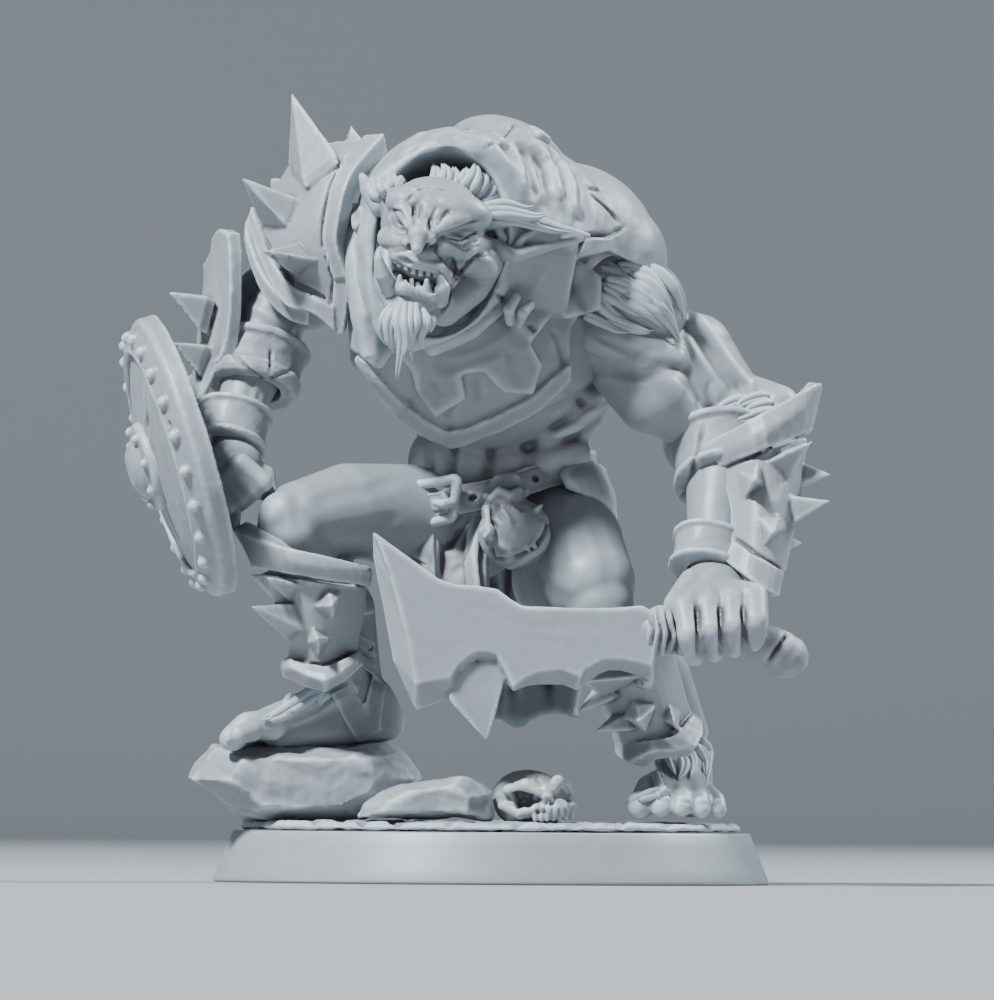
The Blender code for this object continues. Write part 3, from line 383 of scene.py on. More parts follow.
form = bmesh.new()
blob(form, (7.7, -1.8, 37.1), (4.0, 4.0, 3.8))
blob(form, (9.9, -2.2, 37.1), (3.9, 3.7, 3.7))
blob(form, (8.6, -3.2, 34.3), (4.6, 3.0, 2.2), turn=(0, 10, 0))
sinew(form, [(7.6, -3.8, 33.8), (10.7, -4.2, 33.2), (12.7, -3.6, 33.2)], [1.6, 1.7, 1.2])
sinew(form, [(9.1, -3.2, 32.3), (11.4, -3.6, 30.5), (14, -3, 28.6)], [2.2, 2.75, 1.8])
sinew(form, [(11.1, 0.2, 35), (14.4, 0.2, 33.9), (16.5, 0, 31.5)], [2.6, 2.9, 2.3])
sinew(form, [(12.7, -1.8, 33.5), (15.2, -1.8, 30.6)], [2.2, 2.0])
sinew(form, [(14.3, -1, 35.3), (16.2, -1.2, 32.3), (17.8, -0.8, 30.3)], [1.5, 1.7, 1.8])
blob(form, (17.8, 0.2, 29.9), (2.4, 2.4, 2.3))
sinew(form, [(18.5, -0.4, 30.6), (20.4, -1.6, 30), (20.8, -3.4, 27.4)], [1.7, 1.6, 1.0])
sinew(form, [(17.4, -0.8, 29.5), (16.6, -3.6, 25.9), (15.9, -6.2, 21.7), (15.6, -8.6, 18.4)],
    [2.6, 2.9, 2.1, 1.6])
blob(form, (15.6, -10.4, 16.1), (2.6, 1.9, 2.7), turn=(-20, 0, 0))
for k in range(4):
    side = k / 3
    knuckle = Vector((13.6, -13, 15.2)).lerp(Vector((18.5, -12.2, 16.1)), side)
    middle = Vector((13.9, -14.3, 13.4)).lerp(Vector((18.6, -13.6, 14.4)), side)
    tip = Vector((14.3, -13.6, 11.9)).lerp(Vector((18.5, -12.8, 12.8)), side)
    sinew(form, [(15.5, -10.8, 16.5), knuckle, middle, tip], [1.3, 1.05, 0.95, 0.8], rings=16)
sinew(form, [(14.3, -10.6, 17), (13, -12.4, 15.5), (13.2, -13.4, 13.7)], [1.2, 0.95, 0.75], rings=16)
left_arm = melted("left_arm_skin", form, SKIN_GRID * 0.8, softness=7)
front_strokes(left_arm, [
    [(7.8, 32.3), (10.7, 31.9), (13.6, 32.6)], [(13, 32.3), (14.6, 30.3), (15, 27.7)],
    [(13.9, 33.2), (15.5, 30.9), (15.3, 28.9)],
    [(13.4, 35.3), (14.3, 33), (15.5, 31.4)],
], 0.6, 0.12)
front_strokes(left_arm, [[(15.5, 31.9), (15.3, 30.9), (15.9, 29.7)],
    [(17.2, 31.8), (18, 30.6), (18.8, 30)]], 0.4, 0.12)
front_strokes(left_arm, [
    [(4.3, 35.3), (5.7, 33.8), (7.8, 33)], [(7.1, 34.9), (9.3, 33.8), (11.6, 32.8)],
], 0.5, 0.16)
for k in range(3):
    between = (k + 0.5) / 3
    top = ((13.6, 0, 16)[0] + ((18.5, 0, 16.8)[0] - (13.6, 0, 16)[0]) * between, (15, 15.5)[1])
    front_strokes(left_arm, [[top, (top[0] + 0.1, (15, 13.7)[1]), (top[0] + 0.15, (15, 11.9)[1])]], 0.3,
        0.4)
rough(left_arm, 1.4, 0.014, seed=9)
arm_tree = tree_of(left_arm)
cast(left_arm, "left_arm", finish=skin_finish)


# ------------------------------------------------------------------ right leg
# The raised leg: folded at the knee with its bare foot on the big rock, pegged into it and into the torso.

form = bmesh.new()
sinew(form, [(-1.5, 1.4, 21.1), (-5.8, -2.4, 21.8), (-10.4, -6, 22.3), (-13.7, -8.3, 21.6)],
    [3.7, 3.9, 3.3, 2.7])
blob(form, (-9.4, -6, 23.1), (4.4, 2.4, 2.0), turn=(0, -4, 30))
blob(form, (-14.9, -9.6, 21.6), (1.9, 1.8, 1.9))
sinew(form, [(-14.4, -9, 20.6), (-12.6, -6.8, 16), (-10.4, -4.2, 9.9)], [2.5, 2.2, 1.6])
sinew(form, [(-12.8, -5, 18.8), (-10.7, -3.6, 15.1), (-9.1, -2.8, 10.2)], [2.2, 2.3, 1.2])
blob(form, (-10, -3.6, 9.2), (1.7, 2.0, 1.5))
sinew(form, [(-8.5, -2.6, 8.8), (-7.7, -2.2, 7.2)], [1.5, 1.5])
sinew(form, [(-10.1, -4, 8.3), (-13, -5.4, 7.2), (-15.7, -6.8, 6.5)], [1.6, 1.35, 1.1])
sinew(form, [(-7.7, -2.2, 7), (-11.5, -5, 6.5), (-15.1, -6.6, 6.2)], [1.3, 1.2, 1.0])
sinew(form, [(-10.5, -5, 9.2), (-13.7, -6.8, 7.9), (-16.1, -8, 6.9)], [1.4, 1.25, 1.15])
right_toes = [
    ([(-15.7, -8.2, 6.8), (-17.4, -8.9, 6.8), (-18.5, -9.2, 5.8)], [1.15, 1.0, 0.95]),
    ([(-16, -7, 6.6), (-17.6, -7.4, 6.3), (-18.3, -7.6, 5.5)], [0.9, 0.75, 0.7]),
    ([(-15.7, -6, 6.5), (-17.3, -6.2, 6.2), (-17.9, -6.3, 5.5)], [0.8, 0.7, 0.65]),
    ([(-15.4, -5, 6.3), (-16.7, -5, 6), (-17.3, -5, 5.5)], [0.75, 0.65, 0.6]),
]
for places, radii in right_toes:
    sinew(form, places, radii, rings=16)
right_leg = melted("right_leg_skin", form, SKIN_GRID, softness=10)
front_strokes(right_leg, [
    [(-6.5, 24.6), (-8.7, 23.7), (-11.5, 23.1), (-13.3, 22.3)],
    [(-13.7, 23.4), (-14.3, 22.3), (-13.7, 20.5)],
    [(-15.7, 22.7), (-15, 21.7), (-15.4, 20.4)], [(-11.5, 20.6), (-9.4, 21), (-6.5, 21.7)],
], 0.9, 0.1)
front_strokes(right_leg, [[(-10.8, 9.5), (-12.4, 7.9), (-14.4, 7)], [(-9.2, 9.5), (-10, 7.9)]], 0.35, 0.2)
rough(right_leg, 1.6, 0.012, seed=12)
right_leg_tree = tree_of(right_leg)
cast(right_leg, "right_leg", finish=skin_finish)


# ------------------------------------------------------------------ left leg
# The standing leg: bent forward, with its bare foot flat on the paving, where a peg goes into the base.

form = bmesh.new()
sinew(form, [(3.5, 1.4, 21.6), (5.4, -3.2, 19.8), (7, -7, 17.1), (7.6, -8, 15.5)], [3.9, 4.0, 3.2, 2.5])
blob(form, (4.1, -4.6, 18.8), (2.6, 2.4, 4.2), turn=(0, 18, 0))
blob(form, (7.8, -8.8, 14.9), (1.9, 1.7, 1.9))
sinew(form, [(8, -8, 14.4), (10.9, -4.8, 9.9), (13.7, -1.2, 5.6)], [2.3, 2.1, 1.5])
sinew(form, [(9.3, -3.6, 13.8), (11.9, -1.6, 10.8), (14.3, 0.2, 6.6)], [2.2, 2.3, 1.3])
blob(form, (14, -0.8, 5), (1.8, 1.9, 1.5))
sinew(form, [(14.3, 0, 4.1), (14.4, 0.8, 2)], [1.6, 1.6])
sinew(form, [(13.7, -2, 4.7), (13.4, -4.6, 3.2), (13.3, -6.6, 1.9)], [1.9, 1.6, 1.3])
left_toes = [
    ((11.4, -6.6, 2.3), (11, -8.2, 1.8), (10.6, -8.9, 1.2), 1.05),
    ((12.4, -6.8, 2.3), (12.2, -8.8, 1.9), (12.1, -9.6, 1.1), 0.82),
    ((13.4, -6.8, 2.3), (13.5, -9, 1.9), (13.5, -9.8, 1.1), 0.78),
    ((14.4, -6.6, 2.3), (14.8, -8.7, 1.8), (14.9, -9.4, 1), 0.74),
    ((15.2, -6.2, 2.2), (16, -7.9, 1.7), (16.2, -8.5, 1), 0.68),
]
for root, joint, tip, radius in left_toes:
    sinew(form, [(13.6, -4, 3.4), root], [1.3, radius + 0.2], rings=16)
    sinew(form, [root, joint, tip], [radius + 0.15, radius, radius * 0.92], rings=16)
left_leg = melted("left_leg_skin", form, SKIN_GRID, softness=8)
front_strokes(left_leg, [
    [(4.4, 23.7), (4.7, 20.3), (5.1, 17.4)], [(2.1, 18.8), (4.1, 16.7), (6, 15.5)],
    [(7.1, 21.7), (8.1, 18.8), (8.3, 16.2)],
], 0.9, 0.1)
rough(left_leg, 1.6, 0.012, seed=15)
left_leg_tree = tree_of(left_leg)
cast(left_leg, "left_leg", finish=skin_finish)


# ------------------------------------------------------------------ head
# The snarling head: one casting with brow, hooked nose, long ear and underslung jaw, glued into the neck.
# Its tusks, teeth, goatee and crest of hair are sculpted on it in the same resin.

FACE_GRID = 0.1 / FINE

form = bmesh.new()
blob(form, (-4.4, -14, 42.2), (3.75, 4.3, 3.5), turn=(0, 12, 0), rings=32)
sinew(form, [(-7.1, -16.3, 44.2), (-6.5, -17.7, 43.1), (-5.9, -18.4, 42)], [0.6, 0.62, 0.5])
sinew(form, [(-4.2, -18.3, 41.6), (-3.3, -18.1, 42.2), (-2.1, -17.4, 42.6), (-0.8, -15.4, 43.1)],
    [0.46, 0.6, 0.66, 0.6])
sinew(form, [(-5.3, -17.7, 42.5), (-5.4, -18.9, 41.3), (-5.5, -19.5, 40.3)], [0.55, 0.75, 0.4])
blob(form, (-2.9, -16.2, 43.1), (2.7, 1.9, 1.5), turn=(0, 14, 0))
blob(form, (-6.2, -16.2, 43.7), (1.6, 1.8, 1.2), turn=(0, 10, 0))
blob(form, (-2.1, -14.8, 39.9), (2.5, 1.9, 1.3), turn=(0, 26, 0))
blob(form, (-6.1, -18.5, 40.8), (0.5, 0.6, 0.42))
blob(form, (-4.7, -18.6, 41.1), (0.62, 0.7, 0.5))
blob(form, (-6.8, -16.9, 42.5), (0.78, 0.7, 0.72))
blob(form, (-2.4, -16.8, 41.5), (0.95, 0.8, 0.62))
sinew(form, [(-7.4, -16.6, 42.8), (-7.1, -17.3, 41.9), (-6.2, -17.9, 41.6)], [0.2, 0.26, 0.24])
sinew(form, [(-3.4, -17.9, 41.2), (-2.4, -17.6, 40.9), (-1.4, -16.6, 41.4)], [0.24, 0.3, 0.22])
sinew(form, [(-3.8, -17.5, 40.6), (-2.2, -16.6, 40.5), (-0.9, -14.2, 40.8)], [0.8, 0.95, 0.75])
blob(form, (-1.7, -13.8, 39.5), (2.1, 1.9, 1.9))
sinew(form, [(-6.4, -17.6, 40.9), (-7.5, -16.5, 41.2)], [0.85, 0.85])
blob(form, (-5.5, -17, 39.9), (2.0, 1.9, 0.95))
sinew(
    form, [(-7, -17.2, 40.1), (-5.7, -18.5, 39.4), (-3.9, -17.9, 39), (-3.1, -16.4, 38.2)],
    [0.55, 0.5, 0.5, 0.5]
)
sinew(form, [(-0.9, -12.4, 39.8), (-1.8, -13.6, 38.1), (-3.6, -15.8, 36.3)], [1.5, 1.5, 1.3])
sinew(form, [(-7.4, -13.8, 39.9), (-7.5, -15, 37.9), (-6.7, -16.4, 36.6)], [1.2, 1.1, 1.1])
blob(form, (-4.8, -14, 38.1), (3.0, 2.6, 2.4))
blob(form, (-5.9, -16.8, 36.5), (1.9, 1.4, 1.1))
sinew(form, [(-7.7, -16.4, 37.6), (-6.4, -18.2, 37.6), (-4.5, -17.8, 37.1), (-3.4, -16.2, 36.7)],
    [0.45, 0.5, 0.52, 0.42])
sinew(form, [(-3.2, -12, 40.5), (-2.9, -8, 39.8)], [3.0, 3.0])
sinew(form, [(-0.6, -13.4, 42.7), (2, -12.6, 42.9), (4.4, -12, 42.2), (6.6, -11.4, 41.7)],
    [0.8, 0.55, 0.4, 0.2])
sinew(form, [(-0.6, -13.4, 40.8), (1.4, -12.9, 40.2), (3.7, -12.2, 40.9), (6.1, -11.6, 41.5)],
    [0.75, 0.5, 0.4, 0.25])
blob(form, (1.5, -12.2, 41.5), (3.0, 0.4, 1.5))
blob(form, (4.1, -11.8, 41.6), (2.0, 0.32, 0.7))
sinew(form, [(0.1, -13, 40.2), (0.5, -12.9, 41.4), (0.1, -13, 42.2)], [0.3, 0.34, 0.3])
sinew(form, [(1.2, -12.7, 40.5), (2, -12.7, 41.5), (3.1, -12.4, 42.1)], [0.28, 0.3, 0.22])
sinew(form, [(-8.1, -13.4, 43.7), (-9, -12.6, 44.8), (-9.5, -12, 45.8)], [0.9, 0.65, 0.25])
head = melted("head_skin", form, FACE_GRID, softness=4)

front_strokes(head, [
    [(-5.7, 41.9), (-5.8, 42.6), (-5.7, 43.4)], [(-5.2, 42.2), (-5.3, 42.8), (-5.2, 43.5)],
    [(-4.7, 42.1), (-4.4, 42.7), (-4.1, 43.4)],
    [(-4.2, 41.9), (-3.8, 42.5), (-3.2, 43.2)], [(-6.2, 43.7), (-5.8, 44.2)],
    [(-6.2, 44.5), (-4.7, 44.8), (-3.2, 44.5)],
], 0.24, 0.15)
front_strokes(head, [[(-5.5, 42.1), (-5.3, 42.4)], [(-4.9, 42.1), (-4.8, 42.5)],
    [(-4.4, 41.8), (-4.2, 42.2)]], 0.16, -0.12)
front_strokes(head, [
    [(-7.3, 43.1), (-6.7, 43), (-6.1, 41.9)], [(-7.4, 42.8), (-7.2, 42), (-6.4, 41.7)],
    [(-3.9, 41.4), (-2.8, 41.8), (-1.1, 42.5)], [(-3.5, 41.2), (-2.4, 41), (-1.3, 41.6)],
], 0.14, 0.26)
front_strokes(head, [
    [(-3.2, 40.9), (-2.4, 40.6), (-1.2, 41)], [(-2.9, 40.6), (-2.1, 40.3), (-1.1, 40.7)],
    [(-7.2, 41.7), (-6.8, 41.3), (-6.2, 41.3)],
    [(-4.1, 41.1), (-4.2, 40.2), (-3.5, 39.2)], [(-6.2, 40.2), (-6.7, 40.2), (-7.2, 40.1)],
], 0.18, 0.14)
front_strokes(head, [
    [(-0.6, 40.2), (-1.6, 39.8), (-2.5, 38.8), (-3.1, 37.5)], [(-3.1, 39.8), (-2.8, 38.9), (-3, 37.9)],
    [(-3.2, 37.5), (-3.4, 36.5), (-3.9, 35.8)], [(-3.9, 38.1), (-3.1, 37.8)],
], 0.26, 0.24)
front_strokes(head, [[(-5, 40.9), (-4.9, 40.6), (-4.4, 40.8)], [(-6, 40.6), (-6.2, 40.4)]], 0.14, 0.3)
front_strokes(head, [
    [(-6.7, 39.6), (-5.7, 39), (-3.9, 38.6)], [(-7.1, 39.1), (-6.5, 38.5), (-5.1, 37.9), (-3.8, 37.8)],
    [(-7.2, 38.4), (-6.2, 38.1), (-4.8, 37.6), (-3.6, 37.4)],
], 0.45, 0.9)
front_strokes(head, [
    [(-7.5 + 0.36 * k, 37.8 - 0.07 * k), (-7.4 + 0.36 * k, 37.3 - 0.06 * k)] for k in range(11)
], 0.09, 0.1)
front_strokes(head, [
    [(-0.1, 43.1), (1.5, 43.2), (3.2, 42.7)], [(-0.2, 42.4), (1.7, 42.5), (3.9, 42.1)],
    [(0.7, 42.8), (2.8, 42.5), (5, 41.9)],
], 0.14, 0.16)
rough(head, 0.9, 0.02, seed=21)
cast(head, "head", finish=skin_finish)

bone_finish = grey_resin("bone_resin", (0.33, 0.35, 0.37), roughness=0.38, grain=0.04, grain_depth=0.003)


def tooth(form, root, tip, width, thickness=0.6, point=0.55):
    """A tooth or tusk from its root to its tip, flattened across, that narrows to a blunt point."""
    length = (Vector(tip) - Vector(root)).length
    middle = aim(root, tip) @ Matrix.Diagonal((thickness, 1, 1, 1)) @ Matrix.Translation((0, 0,
        length / 2))
    made = bmesh.ops.create_cone(
        form, cap_ends=True, segments=10, depth=length, radius1=width / 2, radius2=width / 2 * point,
        matrix=middle
    )
    return made


form = bmesh.new()
for k in range(7):
    share = k / 6
    top = Vector((-6.8, -17.6, 39.9)).lerp(Vector((-3.7, -17.5, 39)), share)
    top.y -= 0.55 * math.sin(math.pi * share)
    tooth(form, top, top + Vector((0.02, -0.05, -0.95 + 0.12 * math.cos(5 * k))), 0.46, point=0.8)
for k in range(6):
    share = k / 5
    low = Vector((-6.8, -17.2, 37.6)).lerp(Vector((-4.5, -17.2, 37.2)), share)
    low.y -= 0.5 * math.sin(math.pi * share)
    tooth(form, low, low + Vector((0, 0, 0.75 + 0.1 * math.sin(4 * k))), 0.46, point=0.75)
mesh = bpy.data.meshes.new("teeth")
bmesh.ops.bevel(
    form, geom=form.edges[:], offset=0.06, segments=2, profile=0.5, affect="EDGES", material=-1
)
form.to_mesh(mesh)
form.free()
teeth = bpy.data.objects.new("teeth", mesh)
bpy.context.scene.collection.objects.link(teeth)
cast(teeth, "head", slot="bone_resin", finish=bone_finish)

form = bmesh.new()
sinew(form, [(-7.4, -17.2, 37.5), (-7.9, -18.2, 38.5), (-8.2, -18.6, 39.6), (-8.2, -18.5, 40.3)],
    [0.62, 0.55, 0.3, 0.1])
sinew(form, [(-3.9, -17, 36.8), (-3.7, -17.9, 37.6), (-3.9, -18.1, 38.4)], [0.62, 0.55, 0.22])
sinew(form, [(-6.7, -17.8, 37.6), (-6.7, -18.2, 38.4)], [0.34, 0.16])
sinew(form, [(-4.8, -17.9, 37.3), (-4.8, -18.3, 38.1)], [0.38, 0.18])
tusks = melted("tusks", form, FACE_GRID * 0.8, softness=2)
cast(tusks, "head", slot="bone_resin", finish=bone_finish)


def curved(points, count=5):
    """A smooth line through the points."""
    points = [Vector(p) for p in points]
    ends = [points[0] * 2 - points[1]] + points + [points[-1] * 2 - points[-2]]
    line = []
    for k in range(1, len(ends) - 2):
        a, b, c, d = ends[k - 1:k + 3]
        for step in range(count):
            t = step / count
            line.append(
                0.5 * (2 * b + (c - a) * t + (2 * a - 5 * b + 4 * c - d) * t * t
                       + (3 * b - a - 3 * c + d) * t * t * t)
            )
    return line + [points[-1]]


def hair(name, locks, strands=3, seed=1):
    """Locks of sculpted hair. Each lock is its line and its thickness, and is made of a few strands that
    swell near the root, run to a point and part a little on the way."""
    luck = random.Random(seed)
    curve = bpy.data.curves.new(name, "CURVE")
    curve.dimensions = "3D"
    curve.bevel_depth = 1
    curve.bevel_resolution = 2
    curve.use_fill_caps = True
    for points, thickness in locks:
        line = curved(points)
        along = (line[-1] - line[0]).normalized()
        across = along.cross(Vector((0.2, -1, 0.1))).normalized()
        outward = across.cross(along)
        for k in range(strands):
            angle = 2 * math.pi * (k + luck.random() * 0.5) / strands
            shift = (across * math.cos(angle) + outward * math.sin(angle) * 0.6) * thickness * 0.55
            reach = 1 - 0.16 * luck.random()
            part = curve.splines.new("POLY")
            kept = line[:max(3, round(len(line) * reach))]
            part.points.add(len(kept) - 1)
            for j, (point, place) in enumerate(zip(part.points, kept)):
                share = j / (len(kept) - 1)
                swell = min(1, 0.55 + 1.8 * share) * (1 - share ** 2.2) + 0.03
                point.co = (*(place + shift * (1 - 0.75 * share)), 1)
                point.radius = thickness * 0.62 * swell
    source = bpy.data.objects.new(name + "_lines", curve)
    bpy.context.scene.collection.objects.link(source)
    graph = bpy.context.evaluated_depsgraph_get()
    mesh = bpy.data.meshes.new_from_object(source.evaluated_get(graph))
    bpy.data.objects.remove(source)
    form = bmesh.new()
    form.from_mesh(mesh)
    bmesh.ops.remove_doubles(form, verts=form.verts, dist=0.0001)
    form.to_mesh(mesh)
    form.free()
    mesh.name = name
    piece = bpy.data.objects.new(name, mesh)
    bpy.context.scene.collection.objects.link(piece)
    return piece


hair_finish = grey_resin("hair_resin", (0.31, 0.335, 0.36), roughness=0.5, grain=0.05)
goatee = hair("goatee", [
    ([(-6.2, -17.9, 36.6), (-6.7, -18.9, 35.3), (-6.5, -18.8, 33.8), (-6.9, -18.2, 31.1)], 0.62),
    ([(-6.7, -17.9, 36.5), (-7.5, -18.6, 35.2), (-7.4, -18.4, 33.8), (-7.1, -18, 32.8)], 0.55),
    ([(-5.8, -17.9, 36.5), (-5.7, -18.9, 35.1), (-5.9, -18.7, 33.8), (-5.7, -18.2, 32.4)], 0.58),
    ([(-5.4, -17.6, 36.3), (-4.9, -18.4, 35.1), (-5.2, -18.2, 34), (-4.9, -17.8, 33.2)], 0.5),
    ([(-7.1, -17.6, 36.5), (-7.8, -18, 35.5), (-8, -17.8, 34.5), (-7.7, -17.4, 33.6)], 0.45),
    ([(-6.1, -18.2, 36.5), (-6.2, -19.3, 35.1), (-6, -19.1, 33.8), (-6.4, -18.6, 32.6)], 0.5),
    ([(-4.8, -17, 36.2), (-4.4, -17.4, 35.2), (-4.6, -17.2, 34.3)], 0.4),
], seed=4)
cast(goatee, "head", finish=hair_finish)

crest = hair("crest", [
    ([(-4.2, -13, 45), (-4.2, -12.6, 46), (-4.4, -12.2, 46.8)], 0.6),
    ([(-3.8, -13, 45), (-3.5, -12.8, 46), (-3.9, -12.4, 46.9)], 0.7),
    ([(-3.2, -13, 45), (-2.9, -12.6, 45.8), (-3, -12, 46.7)], 0.65),
    ([(-2.6, -12.8, 44.8), (-2.1, -12.6, 45.8), (-2.2, -12.2, 46.5)], 0.7),
    ([(-2.2, -12.8, 44.7), (-1.5, -12.6, 45.8), (-1.4, -12.2, 47)], 0.8),
    ([(-1.8, -12.4, 44.4), (-0.9, -12.2, 45.5), (-0.8, -11.8, 46.3)], 0.75),
    ([(-1.4, -12, 44.1), (-0.3, -11.8, 45.1), (0.2, -11.4, 45.8)], 0.8),
    ([(-1.2, -12.2, 43.7), (-0.2, -11.8, 44.2), (0.7, -11.4, 45)], 0.7),
    ([(-2.9, -11.6, 44.8), (-2.5, -11.2, 45.8), (-2.4, -11, 46.3)], 0.9),
], seed=6)
cast(crest, "head", finish=hair_finish)

ear_hair = hair("ear_hair", [
    ([(-0.8, -14.2, 43.5), (0.7, -13.8, 43.7), (2.1, -13.4, 43.5), (2.9, -13.2, 43.8)], 0.55),
    ([(-0.6, -14.4, 43.1), (1, -13.9, 43.1), (2.7, -13.4, 42.9), (4, -13, 43.2)], 0.6),
    ([(-0.3, -14.2, 42.7), (1.5, -13.6, 42.6), (3.9, -12.8, 42), (6.1, -12, 41.8)], 0.42),
    ([(-7.7, -14.8, 44.4), (-8.1, -14.4, 45.1), (-8, -14, 45.8)], 0.6),
    ([(-7.2, -14.6, 44.7), (-7.4, -14.2, 45.5), (-7.3, -13.8, 46.4)], 0.6),
    ([(-8, -14.2, 44.1), (-8.7, -13.8, 44.8), (-8.7, -13.2, 45.9)], 0.6),
    ([(-7, -14.4, 44.8), (-6.7, -14, 45.5), (-6.2, -13.6, 45)], 0.45),
], seed=8)
cast(ear_hair, "head", finish=hair_finish)


# ------------------------------------------------------------------ fur and nails
# Tufts of fur on the left shoulder, the elbow and both ankles, and the claws: all sculpted on the limbs in
# the same resin.


def lock_on(tree, line, thickness, lift=0.25):
    """A lock that lies on the skin, drawn from the front."""
    return (seen(tree, line, lift=lift), thickness)


shoulder_fur = hair("shoulder_fur", [
    lock_on(arm_tree, line, thickness) for line, thickness in (
        ([(7.6, 40.2), (9, 41.1), (10.3, 40.8), (11.6, 39.8)], 0.62),
        ([(8.3, 40.2), (10, 40.4), (11.4, 39.6), (12.4, 38.5)], 0.68),
        ([(7.4, 39.5), (8.4, 39.2), (9.4, 38.7), (10.1, 38.6)], 0.6),
        ([(8.7, 39.8), (10.3, 39.5), (11.7, 38.4), (12.7, 37.1)], 0.7),
        ([(7.8, 38.8), (9.4, 38.4), (10.9, 37.5), (11.7, 36.2)], 0.7),
        ([(7.6, 38.1), (8.7, 37.5), (9.9, 36.6), (10.9, 36.1)], 0.64),
        ([(7.3, 37.4), (8.1, 36.5), (9.3, 35.8), (10.4, 35.5)], 0.6),
        ([(9.4, 39.1), (11.1, 38.4), (12.3, 36.9), (13.2, 35.2)], 0.7),
        ([(10, 40.1), (11.9, 39.2), (13, 37.8), (13.7, 35.6)], 0.68),
        ([(6.4, 36.3), (7.6, 35.8), (8.8, 35.2), (10, 35.1)], 0.5),
        ([(8.6, 38.1), (10, 37.2), (11.3, 36.3), (12.3, 35.3)], 0.66),
        ([(10.7, 37.5), (11.9, 36.6), (12.7, 35.6), (13.3, 34.5)], 0.6),
        ([(8, 36.2), (9.4, 35.6), (10.7, 35.2), (11.7, 35.3)], 0.52),
    )
], seed=11)
cast(shoulder_fur, "left_arm", finish=hair_finish)

elbow_fur = hair("elbow_fur", [
    ([(19.9, -2.6, 30.5), (18.8, -3.4, 30.5), (17.6, -4, 30), (18, -4.2, 29.3)], 0.55),
    ([(20.3, -2.8, 30), (19.2, -3.6, 29.9), (18.2, -4.4, 29.6), (17.5, -4.8, 28.9)], 0.55),
    ([(20.2, -3, 29.6), (19, -4.2, 29.3), (17.8, -5, 28.9), (16.6, -5, 28.7)], 0.5),
    ([(18.8, -3, 30.3), (17.2, -3.6, 30.2), (15.9, -4.2, 29.5), (15, -4.2, 28.4)], 0.55),
], seed=13)
cast(elbow_fur, "left_arm", finish=hair_finish)

left_ankle_fur = hair("left_ankle_fur", [
    lock_on(left_leg_tree, line, thickness, lift=0.15) for line, thickness in (
        ([(11.6, 5.2), (11.4, 4.5), (11.7, 3.6), (11.4, 2.9)], 0.5),
        ([(12.3, 5), (12, 4.2), (12.3, 3.3)], 0.5),
        ([(12.7, 5), (12.9, 4.2), (13.3, 3.2)], 0.52),
        ([(13.4, 5), (13.7, 4.3), (13.6, 3.6), (13.2, 3.1)], 0.52),
        ([(14, 5.2), (14.4, 4.2), (14.2, 3.2)], 0.5), ([(14.4, 5.5), (15.2, 4.3), (15.3, 3.2)], 0.5),
        ([(14.9, 6), (15.6, 4.9), (16.2, 3.3)], 0.48), ([(10.9, 4.6), (10.5, 3.9), (10.4, 3)], 0.46),
    )
], seed=17)
cast(left_ankle_fur, "left_leg", finish=hair_finish)

right_ankle_fur = hair("right_ankle_fur", [
    lock_on(right_leg_tree, line, thickness, lift=0.2) for line, thickness in (
        ([(-12.4, 9.6), (-13.4, 9.9), (-14.9, 9.5), (-15.9, 8.3)], 0.62),
        ([(-12.3, 9.3), (-13.4, 9.5), (-14.4, 8.8), (-15, 7.9)], 0.6),
        ([(-12.1, 9.2), (-12.8, 9.2), (-13.4, 8.6), (-13.7, 7.9)], 0.55),
        ([(-11.8, 9.2), (-12.1, 8.8), (-12.4, 8.1)], 0.5),
        ([(-13, 9.6), (-14.3, 9.3), (-15.4, 8.5)], 0.55),
    )
], seed=19)
cast(right_ankle_fur, "right_leg", finish=hair_finish)

form = bmesh.new()
nail_spots = [
    ((10.7, -9.1, 1.7), (1.02, 0.62, 0.62), 20), ((12.2, -9.6, 1.6), (0.62, 0.5, 0.5), 24),
    ((13.6, -9.8, 1.6), (0.6, 0.5, 0.48), 24), ((14.9, -9.4, 1.5), (0.56, 0.5, 0.46), 24),
    ((16, -8.4, 1.5), (0.5, 0.5, 0.42), 24),
]
for place, size, tip in nail_spots:
    blob(form, place, size, turn=(tip, 0, 0), rings=20)
left_nails = melted("left_nails", form, FACE_GRID, softness=2)
cast(left_nails, "left_leg", slot="bone_resin", finish=bone_finish)

form = bmesh.new()
sinew(form, [(-17.1, -9.3, 6.4), (-18, -10, 6.1), (-18.8, -10, 5.7)], [0.82, 0.7, 0.16], rings=18)
sinew(form, [(-17.9, -8, 6.3), (-18.5, -8.3, 6), (-19, -8.2, 5.8)], [0.55, 0.45, 0.14], rings=16)
sinew(form, [(-17.6, -6.8, 6.2), (-18.2, -7, 5.8), (-18.6, -7, 5.5)], [0.5, 0.4, 0.14], rings=16)
right_nails = melted("right_nails", form, FACE_GRID, softness=2)
cast(right_nails, "right_leg", slot="bone_resin", finish=bone_finish)


# ------------------------------------------------------------------ hooded mantle
# The hooded mantle over the hunched back: a thick hide with sewn seams, deep folds and a jagged lower edge,
# sculpted as one casting over the shoulders. The head looks out of its rolled opening.

MANTLE_GRID = 0.18 / FINE


def bulk(name, form):
    """A rough solid, made from the masses, to cut with."""
    return melted(name, form, MANTLE_GRID, softness=5)


